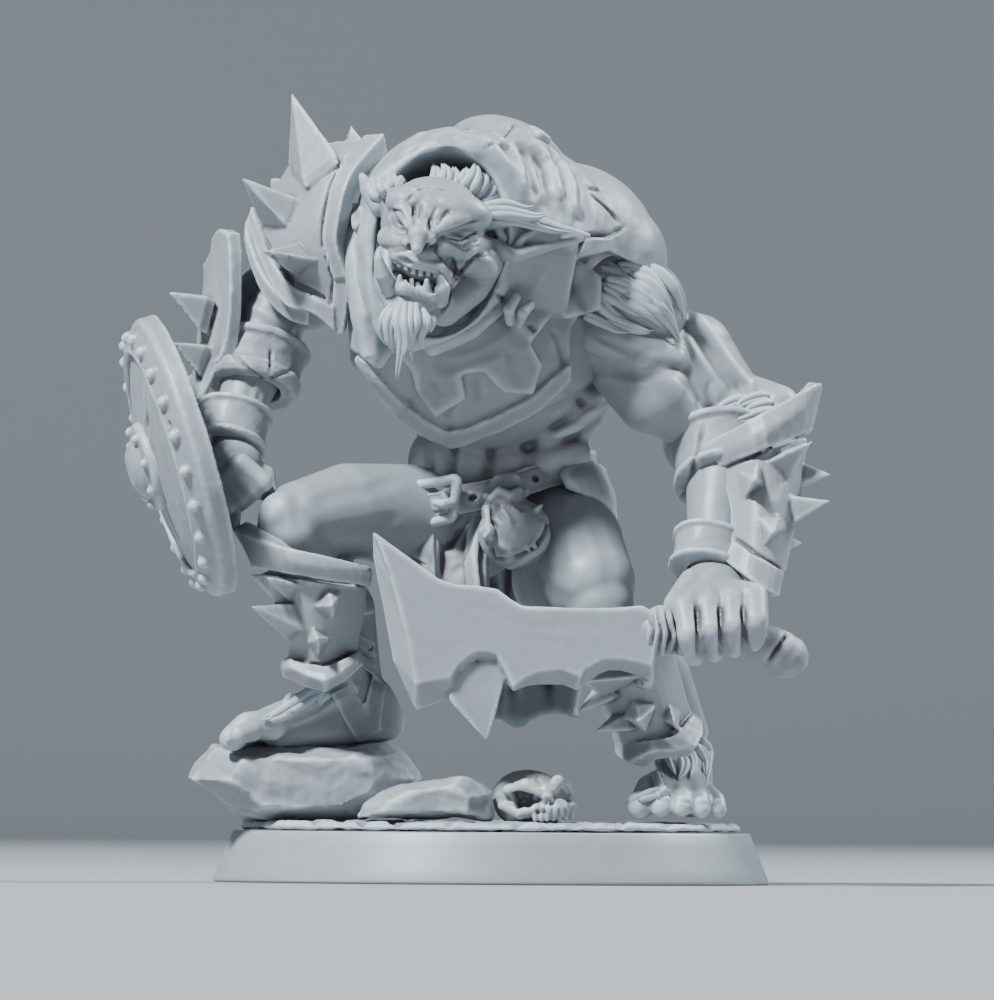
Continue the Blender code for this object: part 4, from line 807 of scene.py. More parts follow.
def prism(name, outline, near, far):
    """A straight-sided solid with this outline in X and Z, from the near depth to the far one."""
    form = bmesh.new()
    front = [form.verts.new((x, near, z)) for x, z in outline]
    rear = [form.verts.new((x, far, z)) for x, z in outline]
    form.faces.new(front)
    form.faces.new(list(reversed(rear)))
    for k in range(len(front)):
        form.faces.new([front[k], front[k - 1], rear[k - 1], rear[k]])
    bmesh.ops.triangulate(form, faces=[face for face in form.faces if len(face.verts) > 4])
    bmesh.ops.recalc_face_normals(form, faces=form.faces)
    mesh = bpy.data.meshes.new(name)
    form.to_mesh(mesh)
    form.free()
    piece = bpy.data.objects.new(name, mesh)
    bpy.context.scene.collection.objects.link(piece)
    return piece


def cut(piece, tool, operation="INTERSECT"):
    """Cuts the piece with the tool, which is used up."""
    knife = piece.modifiers.new("cut", "BOOLEAN")
    knife.operation = operation
    knife.solver = "MANIFOLD"
    knife.object = tool
    settle(piece)
    bpy.data.objects.remove(tool)
    return piece


def add_mesh(form, piece):
    """Moves a finished solid into the form."""
    form.from_mesh(piece.data)
    bpy.data.objects.remove(piece)


def chest_masses(extra):
    """The chest that the layers of hide lie on, grown by this many millimetres."""
    form = bmesh.new()
    blob(form, (-0.6, -2.5, 33.9), (8.3 + extra, 6.3 + extra, 7.4 + extra))
    blob(form, (0.2, -0.5, 40.5), (9.4 + extra, 6.8 + extra, 6.2 + extra))
    sinew(form, [(-0.8, -4, 38.2), (-3.3, -8, 39.8)], [5.0 + extra, 3.4 + extra])
    blob(form, (6.8, -1.5, 38.2), (4.4 + extra, 4.2 + extra, 4.2 + extra))
    blob(form, (-6.5, -5, 35.3), (4.4 + extra, 4.2 + extra, 5.2 + extra))
    blob(form, (5, -2, 35.3), (3.6 + extra, 4.0 + extra, 4.2 + extra))
    return form


form = bmesh.new()
blob(form, (0.5, -3, 42.1), (9.6, 9.0, 7.2), turn=(0, 22, 0))
blob(form, (5, -1, 40.9), (7.0, 7.2, 6.6), turn=(0, 30, 0))
blob(form, (-2.8, -8.2, 42.7), (7.2, 5.6, 6.9))
blob(form, (0.7, -4, 47.5), (4.6, 5.4, 3.0), turn=(0, 20, 0))
blob(form, (8.3, -1.4, 40.2), (4.0, 5.2, 4.4), turn=(0, 30, 0))
rim_places = [
    (-8.6, -12.6, 43), (-8.1, -12.8, 45), (-6.8, -12.6, 46.4), (-4.8, -12.4, 47.4), (-2.6, -12.2, 48.1),
    (-0.8, -12, 47.7),
    (0.5, -11.8, 46.3), (1.2, -11.8, 44.1), (1.2, -11.4, 41.8), (0.8, -11, 39.8), (0.1, -11.2, 37.9),
    (-1.8, -12.4, 35.9),
    (-3.9, -13.2, 34.6), (-5.7, -13.4, 34), (-7.4, -13.4, 34.5), (-8.2, -13.2, 36.2), (-8.8, -13, 38.5),
    (-9, -12.8, 41.1),
]
rim_radii = [0.9, 0.9, 0.9, 0.9, 0.95, 1.0, 1.0, 1.0, 1.0, 0.95, 0.9, 0.8, 0.75, 0.75, 0.85, 1.0, 1.0,
    0.9]
sinew(form, rim_places + rim_places[:1], rim_radii + rim_radii[:1], rings=16)
sinew(form, [(-10.1, -8.4, 42.8), (-9.8, -9.8, 39.6), (-9.2, -11, 35.9), (-8.8, -11.4, 33)],
    [0.8, 1.05, 1.1, 0.7], rings=16)
mantle = bulk("mantle", form)

form = bmesh.new()
blob(form, (-3.8, -15, 41.1), (4.9, 8.2, 6.9), turn=(0, 6, 0), rings=40)
mesh = bpy.data.meshes.new("face_hollow")
form.to_mesh(mesh)
form.free()
face_hollow = bpy.data.objects.new("face_hollow", mesh)
bpy.context.scene.collection.objects.link(face_hollow)
cut(mantle, face_hollow, "DIFFERENCE")
cut(mantle, prism("under_edge", [
    (-11.5, 51.9), (16.5, 51.9), (16.5, 35.3), (10.7, 39.8), (8.1, 40.8), (5.8, 40.2), (5, 36),
    (2.7, 34.5), (2.7, 32.8),
    (-10, 32.8), (-10.8, 37.5),
], -30, 30))

front_layer = cut(bulk("front_layer", chest_masses(0.95)), prism("jagged", [
    (-10, 37.5), (-10.4, 33.8), (-8.5, 32.3), (-8, 32.3), (-7.1, 33.5), (-5.9, 32), (-5.5, 30.5),
    (-4.2, 28.9), (-2, 30.2),
    (-2.4, 31.9), (-0.8, 32.1), (0.6, 30.6), (2.8, 30.5), (3.4, 32.6), (2.3, 34.4), (3.9, 35.9),
    (0.7, 41.1), (-9.4, 38.9),
], -30, -2))
side_patch = cut(bulk("side_patch", chest_masses(1.25)), prism("hide_patch", [
    (3.4, 40.6), (6.2, 41.4), (5.8, 40.3), (7.6, 39.1), (7.6, 36.7), (5.1, 35.9), (4.3, 36.5),
    (2.7, 34.3), (0.7, 35.9),
    (1, 39.6),
], -30, -1))
form = bmesh.new()
form.from_mesh(mantle.data)
bpy.data.objects.remove(mantle)
add_mesh(form, front_layer)
add_mesh(form, side_patch)
sinew(form, [(6.6, -6.6, 41.5), (8.3, -6, 41.7), (9.6, -4.4, 42.8), (10, -2, 43.5)], [0.5, 0.5, 0.5, 0.5],
    rings=12)
sinew(form, [(6.2, -6.6, 40.9), (7, -6.4, 40.2), (8.4, -6, 40.9), (9.9, -4.2, 42.1)],
    [0.45, 0.5, 0.5, 0.5], rings=12)
sinew(form, [(-4.4, -11.4, 33.7), (-1.8, -10.8, 34.9), (0.4, -10.2, 36.9), (1.2, -9.4, 39.2)],
    [0.65, 0.7, 0.7, 0.6], rings=14)
blob(form, (7.1, 1, 45.5), (0.9, 3.0, 0.55), turn=(0, 20, 0))
mantle = melted("mantle_hide", form, MANTLE_GRID, softness=3)

folds = [
    [(1.5, 48.6), (2.1, 47.5), (2.6, 46), (2.8, 44.1)],
    [(3.5, 48.2), (4.7, 46.5), (5.2, 44.6), (4.8, 42.5)],
    [(5.3, 47.3), (5.9, 45.6), (6.1, 43.5), (5.7, 41.9)],
    [(2.4, 48.4), (3.5, 46.8), (4, 44.7), (3.7, 42.8)],
    [(-7.6, 46.8), (-5.8, 48.3), (-3.3, 49.1), (-0.4, 49.2)], [(-6.5, 47.5), (-4.4, 48.6), (-1.6, 48.7)],
    [(-8.4, 46.1), (-7.1, 47.8), (-4.7, 49.1), (-1.5, 49.8)],
]
front_strokes(mantle, folds, 1.4, 0.42)
front_strokes(mantle, [
    [(0.9, 48.3), (1.7, 46.4), (2, 44.4)], [(3, 48.3), (4.1, 46.4), (4.5, 44.2)],
    [(4.5, 47.5), (5.4, 45.4), (5.4, 43)],
    [(-7.2, 47.3), (-5.1, 48.7), (-2.2, 49.3)],
], 1.2, -0.4)
front_strokes(mantle, [
    [(-0.8, 47.7), (0.1, 48.4), (0.7, 49.1), (1.2, 49.8), (2.2, 49.6)], [(0, 37.6), (0.7, 37.1)],
    [(2.4, 35.5), (3, 34.9)],
    [(-10.5, 42.7), (-9.5, 42.5)], [(6.4, 45.8), (6.7, 45.3), (7.6, 45.3)],
    [(6.7, 45), (8.1, 43.8), (9, 42.8)],
    [(5.8, 40.3), (6.4, 41.8), (8.1, 41.9), (9.3, 42.7)],
], 0.22, 0.4)
front_strokes(mantle, [
    [(2.1, 38.6), (1.5, 37.1), (0.7, 35.9)], [(3.2, 40.2), (2.4, 38.4), (1.2, 36.6)],
    [(-3.6, 33.2), (-0.8, 34.2), (1.7, 36.3)],
    [(-4.2, 32.3), (-1.5, 32.9), (0.7, 33.9)], [(1, 33.9), (1.5, 32.1), (2.1, 30.9)],
    [(-4.4, 31.4), (-3.9, 30.2)],
    [(-8.5, 40.2), (-8.4, 37.5), (-8, 34.6)], [(-9.7, 41.1), (-9.2, 37.5), (-8.5, 33.9)],
], 0.9, 0.14)
front_strokes(mantle, [
    [(2.1, 48.3), (0.7, 41.1), (-0.8, 34.6)], [(-1.5, 49), (-2.6, 41.8), (-3.6, 35.3)],
    [(5, 46.1), (5, 40.4), (3.9, 35.3)],
    [(-4.4, 48.3), (-5.8, 42.5), (-6.5, 37.5)], [(7.8, 44), (7.8, 38.9)],
], 1.3, 0.4, side=1)
rough(mantle, 2.2, 0.05, seed=45)
hide_finish = grey_resin("hide_resin", (0.31, 0.335, 0.36), roughness=0.45, grain=0.06)
cast(mantle, "shoulder_mantle", slot="cloth_resin", finish=hide_finish)

form = bmesh.new()
for places in (
    [(1.1, -10.6, 35.6), (1, -12, 36.4), (1.5, -11.4, 37.3)],
    [(1.7, -10.2, 35.5), (2, -11.6, 36.2), (2.5, -10.8, 36.8)],
    [(-0.1, -9.6, 48.8), (0.4, -10.9, 48.3), (0.7, -10.8, 47.6)],
    [(-0.5, -9.8, 48.6), (-0.1, -11.2, 48.1), (0.2, -11, 47.5)],
    [(-0.9, -10, 48.6), (-0.6, -11.3, 48.1), (-0.1, -11.2, 47.7)],
    [(2.6, -6, 49.5), (3.1, -7, 49.1), (3.6, -6.6, 48.8)],
    [(-10, -9, 43.3), (-9.8, -11.2, 42.3), (-9.5, -10.6, 41.8)],
    [(-9.5, -9.6, 43.5), (-9.3, -11.6, 42.5), (-9.1, -11.2, 41.9)],
):
    sinew(form, places, [0.36, 0.42, 0.36], rings=14)
stitches = melted("mantle_stitches", form, FACE_GRID, softness=1)
cast(stitches, "shoulder_mantle", slot="cloth_resin", finish=hide_finish)


# ------------------------------------------------------------------ breast leather
# The breast leather under the mantle: one hide plate across the chest with a thick rolled hem that comes
# down to a point over the belly.

breast = cut(bulk("breast", chest_masses(0.45)), prism("breast_outline", [
    (-10.8, 41.1), (-10.3, 32.8), (-8.5, 30.5), (-6.5, 28.6), (-4.4, 27.4), (-3.1, 27), (-2.1, 27.2),
    (0.7, 28.2), (3.2, 29.5),
    (5.4, 31.5), (5.4, 35.3), (7.1, 38.2), (5, 41.8),
], -30, 3))
hem = cut(bulk("hem", chest_masses(0.85)), prism("hem_outline", [
    (-10.1, 32.9), (-8.5, 30.5), (-6.5, 28.4), (-4.4, 27.2), (-3.1, 26.7), (-2.1, 26.9), (0.7, 27.9),
    (3.3, 29.3), (5.5, 31.5),
    (5.5, 32.8), (4.8, 32.3), (2.5, 30.2), (-0.1, 28.9), (-2.2, 28), (-3.4, 27.9), (-4.5, 28.4),
    (-6.2, 29.6), (-8.1, 31.3),
    (-9.7, 33.3),
], -30, 3))
form = bmesh.new()
form.from_mesh(breast.data)
bpy.data.objects.remove(breast)
add_mesh(form, hem)
breast_leather = melted("breast_hide", form, MANTLE_GRID, softness=2)
front_strokes(breast_leather, [[(-1.5, 31.8), (-1.2, 30)], [(4.1, 35.3), (4.7, 33.9), (5, 32.6)],
    [(-3.6, 28.6), (-2.8, 30.3)]],
              0.5, 0.2)
rough(breast_leather, 1.8, 0.04, seed=47)
cast(breast_leather, "breast_leather", slot="leather_resin", finish=hide_finish)


# ------------------------------------------------------------------ shoulder guard
# The steel shoulder guard: one curved plate with a raised rim and four forged spikes, cast in one piece.
# It sits on the right shoulder over a thin lower lame.

PLATE_GRID = 0.122 / FINE


def plate(form, rows, thickness, count=4):
    """A curved plate. Its outer face passes through the rows, from top to bottom, each from left to right."""
    across = [curved(row, count) for row in rows]
    down = [curved(column, count) for column in zip(*across)]
    wide, tall = len(down), len(down[0])
    outer, inner = {}, {}
    for i in range(wide):
        for j in range(tall):
            over = down[min(i + 1, wide - 1)][j] - down[max(i - 1, 0)][j]
            below = down[i][min(j + 1, tall - 1)] - down[i][max(j - 1, 0)]
            inward = over.cross(below).normalized()
            outer[i, j] = form.verts.new(down[i][j])
            inner[i, j] = form.verts.new(down[i][j] + inward * thickness)
    for i in range(wide - 1):
        for j in range(tall - 1):
            corners = [(i, j), (i, j + 1), (i + 1, j + 1), (i + 1, j)]
            form.faces.new([outer[c] for c in corners])
            form.faces.new([inner[c] for c in reversed(corners)])
    ring = [(i, 0) for i in range(wide)] + [(wide - 1, j) for j in range(1, tall)]
    ring += [(i, tall - 1) for i in range(wide - 2, -1, -1)] + [(0, j) for j in range(tall - 2, 0, -1)]
    for here, there in zip(ring, ring[1:] + ring[:1]):
        form.faces.new([outer[here], outer[there], inner[there], inner[here]])


def spike(form, corners, tip, sunk=0.8):
    """A forged spike: a pyramid on these corners, whose foot is sunk into the plate."""
    corners = [Vector(c) for c in corners]
    centre = sum(corners, Vector()) / len(corners)
    foot = (centre - Vector(tip)).normalized() * sunk
    top = form.verts.new(tip)
    ring = [form.verts.new(c) for c in corners]
    base = [form.verts.new(c + foot) for c in corners]
    for k in range(len(ring)):
        form.faces.new([ring[k - 1], ring[k], top])
        form.faces.new([base[k - 1], base[k], ring[k], ring[k - 1]])
    form.faces.new(list(reversed(base)))
    bmesh.ops.recalc_face_normals(form, faces=list({face for vert in ring for face in vert.link_faces}))


def studs(form, *outlines):
    """Spikes drawn on a plate from the front: each is its corners in X and Z, and then its tip."""
    tree = BVHTree.FromBMesh(form)
    for corners, tip in outlines:
        spike(form, seen(tree, corners), tip)


armour_finish = grey_resin("armour_resin", (0.33, 0.355, 0.38), roughness=0.40, grain=0.05,
    grain_depth=0.004)

form = bmesh.new()
plate(form, [
    [(-10, 3, 49.3), (-12.4, 0.5, 48.8), (-11.4, -3.6, 48.8), (-10, -6.4, 48.8), (-8.6, -6.8, 49)],
    [(-13.7, 3, 48.3), (-14.7, -0.6, 47.5), (-13.4, -6.2, 46.8), (-11.8, -8.2, 46.4),
    (-10.4, -8.8, 46.1)],
    [(-15.3, 3.2, 44.7), (-16.3, -1.8, 44.5), (-14.4, -7, 43.8), (-12.8, -9.2, 43.7),
    (-11.4, -9.6, 43.4)],
    [(-16, 3.2, 41.8), (-17.3, -2.2, 42.8), (-15.4, -7, 41.2), (-13.6, -9.2, 40.8), (-11.8, -9.8, 40.4)],
    [(-15.4, 3.2, 38.9), (-16.4, -2.6, 40.2), (-15.3, -6.6, 38.8), (-13.4, -8.4, 38.1),
    (-11.3, -8.8, 36.9)],
], 0.8)
plate(form, [
    [(-9.4, -6, 49.1), (-8, -6.4, 49.2)], [(-10.8, -8.6, 47.5), (-9.3, -9.2, 47.5)],
    [(-11.7, -9.7, 45.4), (-10.5, -10.3, 45.6)],
    [(-12.2, -10.3, 42.9), (-11.1, -10.9, 43.2)], [(-12.3, -10.3, 40.9), (-11.3, -10.9, 41.1)],
    [(-11.5, -9.9, 38.5), (-10.5, -10.3, 38.7)],
], 1.5)
plate(form, [
    [(-11.5, -9.7, 38.6), (-10.4, -10.1, 38.7)], [(-11.6, -9.3, 36.6), (-10.5, -9.6, 36.8)],
    [(-11.3, -8.9, 34.6), (-10.8, -9, 34.7)],
], 1.3, count=2)
plate(form, [
    [(-17.6, -2.4, 44.2), (-16.7, -4.9, 41.8), (-15.7, -7.3, 39.6), (-14.5, -8.8, 38.1),
    (-13.1, -9.3, 37.5), (-11.5, -9.5, 36.6)],
    [(-17.9, -2.6, 43.1), (-17.1, -5.1, 40.7), (-16.1, -7.4, 38.4), (-14.9, -8.8, 36.7),
    (-13.1, -9.2, 36.2), (-11.4, -9.2, 34.8)],
], 1.1)
spike(form, [(-14.9, -3.4, 47.2), (-13.8, -8, 45.8), (-11.4, -8.4, 47.6), (-12.6, -2, 49)],
    (-14.7, -4.2, 52.2))
spike(form, [(-15.8, -3.4, 45), (-16.8, -4, 42.6), (-15, -7.4, 42.5), (-14.2, -7.2, 44.5)],
    (-18.2, -7.6, 45.9))
spike(form, [(-15.7, -6.6, 40.2), (-14.2, -8, 38.8), (-12.7, -9.6, 39.9), (-14.1, -9, 41.2)],
    (-16.6, -12, 40.4))
spike(form, [(-10.7, 1, 48.4), (-11.1, 3.4, 48.7), (-9.7, 3.2, 49.1), (-9.4, 0.6, 48.8)],
    (-10.5, 2.2, 50.3))
spike(form, [(-15, 3, 46.4), (-16, 3, 44.2), (-16.3, 6, 44.4), (-15, 6, 46.4)], (-16.4, 7, 46.7))
shoulder_guard = melted("shoulder_guard_steel", form, PLATE_GRID, softness=1)
front_strokes(shoulder_guard,
    [[(-9.5, 48.8), (-10.8, 47.4), (-11.8, 45.3), (-12.3, 42.8), (-12.3, 40.9), (-11.5, 38.5),
    (-11.8, 36.8)]],
              0.12, 0.3)
front_strokes(shoulder_guard,
    [[(-16.8, 42.4), (-15.8, 40.1), (-14.4, 38.2), (-13.1, 37.6), (-11.8, 36.8)]], 0.12, 0.28)
rough(shoulder_guard, 1.8, 0.03, seed=23)
cast(shoulder_guard, "shoulder_guard", slot="armour_resin", finish=armour_finish)

form = bmesh.new()
plate(form, [
    [(-17.8, 0.5, 43.7), (-18, -2.8, 42.7), (-17.6, -4.4, 41.2), (-16.7, -6, 39.1), (-15, -7.2, 37.1),
    (-13.3, -7.4, 36.3)],
    [(-17.9, 0.5, 43.1), (-18.1, -2.8, 41.8), (-17.7, -4.4, 40.1), (-16.7, -5.8, 37.7), (-15, -6.8, 35.9),
    (-13.3, -6.8, 35.3)],
], 0.8)
shoulder_lame = melted("shoulder_lame", form, PLATE_GRID, softness=1)
cast(shoulder_lame, "shoulder_guard_lame", slot="armour_resin", finish=armour_finish)


# ------------------------------------------------------------------ vambraces
# The forearm guards: flared steel plates with a fin at the elbow and rows of spikes, tied over leather cuffs.

form = bmesh.new()
plate(form, [
    [(16, -6.2, 25.6), (18.3, -7.6, 26.4), (20.4, -6.8, 27), (22.4, -3.6, 27.7), (22.2, 0.8, 27.4)],
    [(16.8, -8.2, 22.7), (18.8, -9.6, 23), (20.6, -8.6, 23.1), (22, -5.6, 23.7), (21.5, -2.2, 23.5)],
    [(16.8, -9.6, 19.9), (18.5, -11, 19.1), (19.9, -10.8, 18.1), (20.9, -8.6, 18.1), (20.3, -6, 18.4)],
], 0.8)
plate(form, [
    [(15.1, -6.2, 27.2), (19, -7.8, 29.3), (23.1, -5.2, 31.5), (23.5, -1, 31.2)],
    [(15.6, -6.8, 26.3), (19.3, -8.6, 28.1), (22.9, -5.6, 29.7), (23.1, -1, 29.7)],
    [(16.1, -6.8, 25.4), (19.5, -8.4, 26.8), (22.6, -4.8, 28.1), (22.6, -0.8, 28)],
], 1.0)
plate(form, [
    [(17, -10, 20.3), (18.6, -11.4, 19.1), (20.6, -10, 18), (20.5, -6.8, 18.1)],
    [(16.4, -10.6, 18.8), (18.3, -12.2, 17.3), (20.2, -11.2, 16.2), (20.3, -7.6, 16.7)],
], 1.2)
studs(
    form,
    ([(18.9, 26.1), (17.4, 25.2), (17.8, 23.1), (19.3, 24.3)], (18.5, -11.6, 24.4)),
    ([(19.4, 25.8), (21, 24.5), (21.5, 25.9), (20.5, 26.6)], (22.8, -10.2, 27.4)),
    ([(18.9, 21.8), (19.3, 19.8), (21, 21.3), (20.3, 22.1)], (19.8, -12.6, 20.6)),
)
spike(form, [(21.8, -5, 26), (22, -5.6, 24.4), (22, -3, 24.1), (22, -2, 25.9)], (24.2, -5.6, 25))
spike(form, [(21.3, -8, 23.4), (21.7, -8, 21.6), (21.8, -5.4, 21.8), (21.8, -4.6, 23.3)],
    (24.1, -8, 23.1))
spike(form, [(21.2, -8, 20.5), (20.9, -8.2, 19.4), (20.9, -6.4, 19.5), (21.1, -6, 20.4)],
    (22.1, -6.4, 20.1))
left_vambrace = melted("left_vambrace_steel", form, PLATE_GRID, softness=1)
front_strokes(left_vambrace, [[(16.2, 25.3), (19.5, 26.7), (22.5, 27.9)]], 0.12, 0.35)
front_strokes(left_vambrace, [[(17, 20.4), (18.6, 19.3), (20.7, 18)]], 0.14, 0.3)
rough(left_vambrace, 1.8, 0.03, seed=27)
cast(left_vambrace, "left_vambrace", slot="armour_resin", finish=armour_finish)

form = bmesh.new()
plate(form, [
    [(-21.2, 5, 40.2), (-20.9, 1.8, 40.5), (-19.9, -1.6, 42.1), (-19, -3.4, 41.8), (-18.3, -3.2, 41.1)],
    [(-20.9, 5, 37.5), (-21.2, 1.8, 37.5), (-20.6, -1.8, 37.8), (-19.7, -3.8, 37.5), (-18.9, -3.8, 37.1)],
    [(-21.2, 3.6, 33.8), (-21.6, 1, 33.8), (-21.3, -2.2, 33.5), (-20.6, -4, 33.2), (-19.7, -4.2, 33)],
    [(-21.5, 2.4, 30.3), (-22, 0, 30.3), (-21.9, -3, 30.2), (-21.5, -4.4, 30), (-20.9, -4.6, 30.2)],
], 0.8)
plate(form, [
    [(-20.5, 2, 42.1), (-19.9, -2.2, 42.5), (-19.2, -4.4, 42.1)],
    [(-20.7, 2, 40.2), (-20, -2.6, 40.2), (-19, -5, 39.9)],
    [(-20.7, 1.8, 37.5), (-20.1, -2.8, 36.9), (-19, -5.2, 36.3)],
    [(-20.6, 1, 35.3), (-20, -3.2, 33.9), (-19.4, -5, 33.9)],
    [(-20.5, 0.4, 33.5), (-20.2, -3.4, 32.8), (-20, -4.6, 32.8)],
], 1.0, count=3)
spike(form, [(-21.2, -1, 37.8), (-21.7, -2, 35.9), (-21.2, -4.4, 35.1), (-20.6, -4.6, 37.5)],
    (-23.4, -5, 37.8))
spike(form, [(-21.2, -1.4, 34.2), (-21.7, -2.4, 32.8), (-21.3, -4.6, 31.9), (-20.7, -4.6, 34)],
    (-23.1, -5.4, 34.2))
spike(form, [(-21.5, 0.6, 32.2), (-21.9, 0.4, 31), (-21.7, 2.8, 31.2), (-21.5, 2.8, 32)],
    (-23.5, 1, 31.6))
right_vambrace = melted("right_vambrace_steel", form, PLATE_GRID, softness=1)
rough(right_vambrace, 1.8, 0.03, seed=31)
cast(right_vambrace, "right_vambrace", slot="armour_resin", finish=armour_finish)


# ------------------------------------------------------------------ cuffs and wrist bands
# Leather cuffs with rolled edges, sculpted tight round the arms under the vambraces.

leather_finish = grey_resin("leather_resin", (0.28, 0.30, 0.325), roughness=0.5, grain=0.07,
    grain_depth=0.008)


def cuff(name, start, end, profile, oval=1.0, side=0.0, seed=1):
    """A band turned about the line from start to end: the profile is (how far along, outer radius), and the
    bore is 1.0 mm inside the smallest radius."""
    form = bmesh.new()
    length = (Vector(end) - Vector(start)).length
    bore = min(radius for _, radius in profile) - 1.0
    outline = [(bore, profile[0][0])] + [(radius, share) for share,
        radius in profile] + [(bore, profile[-1][0])]
    ring = [form.verts.new((radius, 0, share * length)) for radius, share in outline]
    edges = [form.edges.new((ring[k - 1], ring[k])) for k in range(len(ring))]
    bmesh.ops.spin(
        form, geom=ring + edges, cent=(0, 0, 0), axis=(0, 0, 1), angle=math.tau, steps=64, use_merge=True
    )
    turned = aim(start, end) @ Matrix.Rotation(math.radians(side), 4,
        "Z") @ Matrix.Diagonal((1, oval, 1, 1))
    bmesh.ops.transform(form, matrix=turned, verts=form.verts)
    bmesh.ops.recalc_face_normals(form, faces=form.faces)
    piece = melted(name, form, PLATE_GRID, softness=1)
    rough(piece, 1.2, 0.05, seed=seed)
    return piece


ROLLED = [(0, 1.0), (0.04, 1.08), (0.13, 1.08), (0.18, 0.99), (0.5, 0.95), (0.82, 0.99), (0.87, 1.08),
    (0.96, 1.08),
          (1, 1.0)]


def rolled(radius, taper=0.0):
    """A profile with a rolled lip at either end."""
    return [(share, radius * swell * (1 - taper * share)) for share, swell in ROLLED]


left_band = cuff("left_wrist_leather", (15.6, -7.4, 20.4), (15.2, -9, 17.9), rolled(2.35), oval=1.12,
    seed=33)
cast(left_band, "left_wrist_band", slot="armour_resin", finish=armour_finish)
right_band = cuff("right_wrist_leather", (-18.4, -4.2, 29.4), (-19, -5.6, 26.7), rolled(2.5), oval=1.05,
    seed=35)
cast(right_band, "right_wrist_band", slot="armour_resin", finish=armour_finish)
left_cuff = cuff("left_elbow_leather", (16.2, -2, 27.6), (16.6, -4.6, 24.3), rolled(3.7, 0.12), oval=1.05,
    seed=37)
front_strokes(left_cuff, [[(13.3, 23.3), (14.3, 23.9), (15.9, 24.9)],
    [(15, 28.5), (14.3, 26), (14.2, 23.9)]], 0.3, 0.25)
cast(left_cuff, "left_elbow_cuff", slot="leather_resin", finish=leather_finish)
right_cuff = cuff("right_elbow_leather", (-16.7, -1.4, 34.2), (-17.4, -3, 30.9), [
    (0, 3.3), (0.05, 3.45), (0.15, 3.4), (0.2, 3.15), (0.5, 3.0), (0.68, 3.05), (0.74, 3.3), (0.9, 3.25),
    (1, 3.0),
], oval=1.05, seed=39)
front_strokes(right_cuff, [[(-19.2, 33.9), (-17.7, 32.3), (-16.4, 31.5), (-14.4, 32.3)],
    [(-16, 33.8), (-16, 32.2)]], 0.25, 0.25)
cast(right_cuff, "right_elbow_cuff", slot="leather_resin", finish=leather_finish)


# ------------------------------------------------------------------ greaves
# The shin guards: steel plates with a flared knee band, a chevron foot and pyramid spikes, tied on by straps.

form = bmesh.new()
plate(form, [
    [(-16.4, -5.6, 17.7), (-16.4, -9, 17.5), (-14.4, -12.4, 17.2), (-11.5, -12.4, 16.8),
    (-9.2, -9.6, 16.7), (-9.1, -6.4, 16.7)],
    [(-15.4, -6, 15.2), (-15.3, -9, 15.1), (-13.7, -11.8, 14.8), (-11.5, -11.8, 14.5), (-9.4, -9.2, 14.7),
    (-9.2, -6.6, 14.7)],
    [(-14.6, -6, 12.9), (-14.4, -8.8, 12.6), (-13.1, -10.8, 11.9), (-11.7, -10.8, 11.6),
    (-9.8, -8.4, 12.4), (-9.7, -6.6, 12.4)],
    [(-14.6, -6, 11.5), (-14.4, -8.6, 11.2), (-13.1, -10.4, 10.6), (-11.8, -10.6, 10.2),
    (-9.8, -8.2, 11.4), (-9.7, -6.6, 11.4)],
], 0.9)
plate(form, [
    [(-18, -5.4, 20.5), (-18.5, -9.2, 20.7), (-15.7, -13.4, 19.6), (-12.3, -14, 18.9), (-9, -11.6, 18.2),
    (-8.8, -6.4, 18.2)],
    [(-17.1, -5.4, 19.1), (-17.7, -9.4, 19.3), (-15, -13.6, 18.5), (-11.8, -14, 18), (-8.8, -11.6, 17.6),
    (-8.7, -6.4, 17.6)],
    [(-16.7, -5.4, 18), (-17.1, -9.4, 18), (-14.7, -13, 17.5), (-11.7, -13.4, 17), (-9, -11.2, 16.7),
    (-8.8, -6.4, 16.7)],
], 1.2)
plate(form, [
    [(-14.9, -5.4, 11.6), (-15.1, -8.6, 11.4), (-14.4, -10.4, 11.6), (-11.9, -12, 11), (-9.7, -9.8, 12),
    (-9.4, -6.4, 11.9)],
    [(-14.7, -5.4, 11.1), (-15.1, -9, 10.9), (-14.3, -11.2, 10.9), (-11.8, -12.8, 9.9),
    (-9.6, -10.6, 11.4), (-9.3, -6.4, 11.4)],
    [(-14.6, -5.4, 10.3), (-14.9, -8.4, 10.2), (-14.3, -9.8, 10), (-11.8, -11.4, 9.1), (-9.4, -9.4, 10.9),
    (-9.2, -6.4, 11.1)],
], 1.2, count=2)
studs(
    form,
    ([(-11.7, 16.5), (-12.7, 15.2), (-11.3, 14.2), (-10.7, 16.2)], (-11.3, -15, 15.2)),
    ([(-12.8, 13.7), (-13.2, 12.7), (-12.4, 11.6), (-11.5, 12.9)], (-12.3, -14.4, 12.9)),
    ([(-15.2, 17.5), (-15.9, 16.8), (-14.4, 15.5), (-13.5, 16.7)], (-16.1, -14, 17.2)),
)
spike(form, [(-15.6, -8.8, 15.4), (-14.7, -9.4, 12.9), (-13.8, -12, 13.7), (-14.4, -12, 15.4)],
    (-17.3, -12.6, 15.2))
spike(form, [(-16.4, -6.6, 17.4), (-16, -6.8, 16), (-15.7, -9, 16.2), (-16.1, -9.2, 17.5)],
    (-17.4, -8, 17.6))
right_greave = melted("right_greave_steel", form, PLATE_GRID, softness=1)
front_strokes(right_greave, [[(-16.7, 17.7), (-13.7, 17.2), (-11.5, 16.9), (-9.2, 16.7)]], 0.12, 0.35)
front_strokes(right_greave, [[(-14.4, 11.6), (-13.3, 11.2), (-12, 11.1), (-10.7, 11.6), (-9.7, 12.1)]],
    0.12, 0.3)
rough(right_greave, 1.8, 0.03, seed=41)
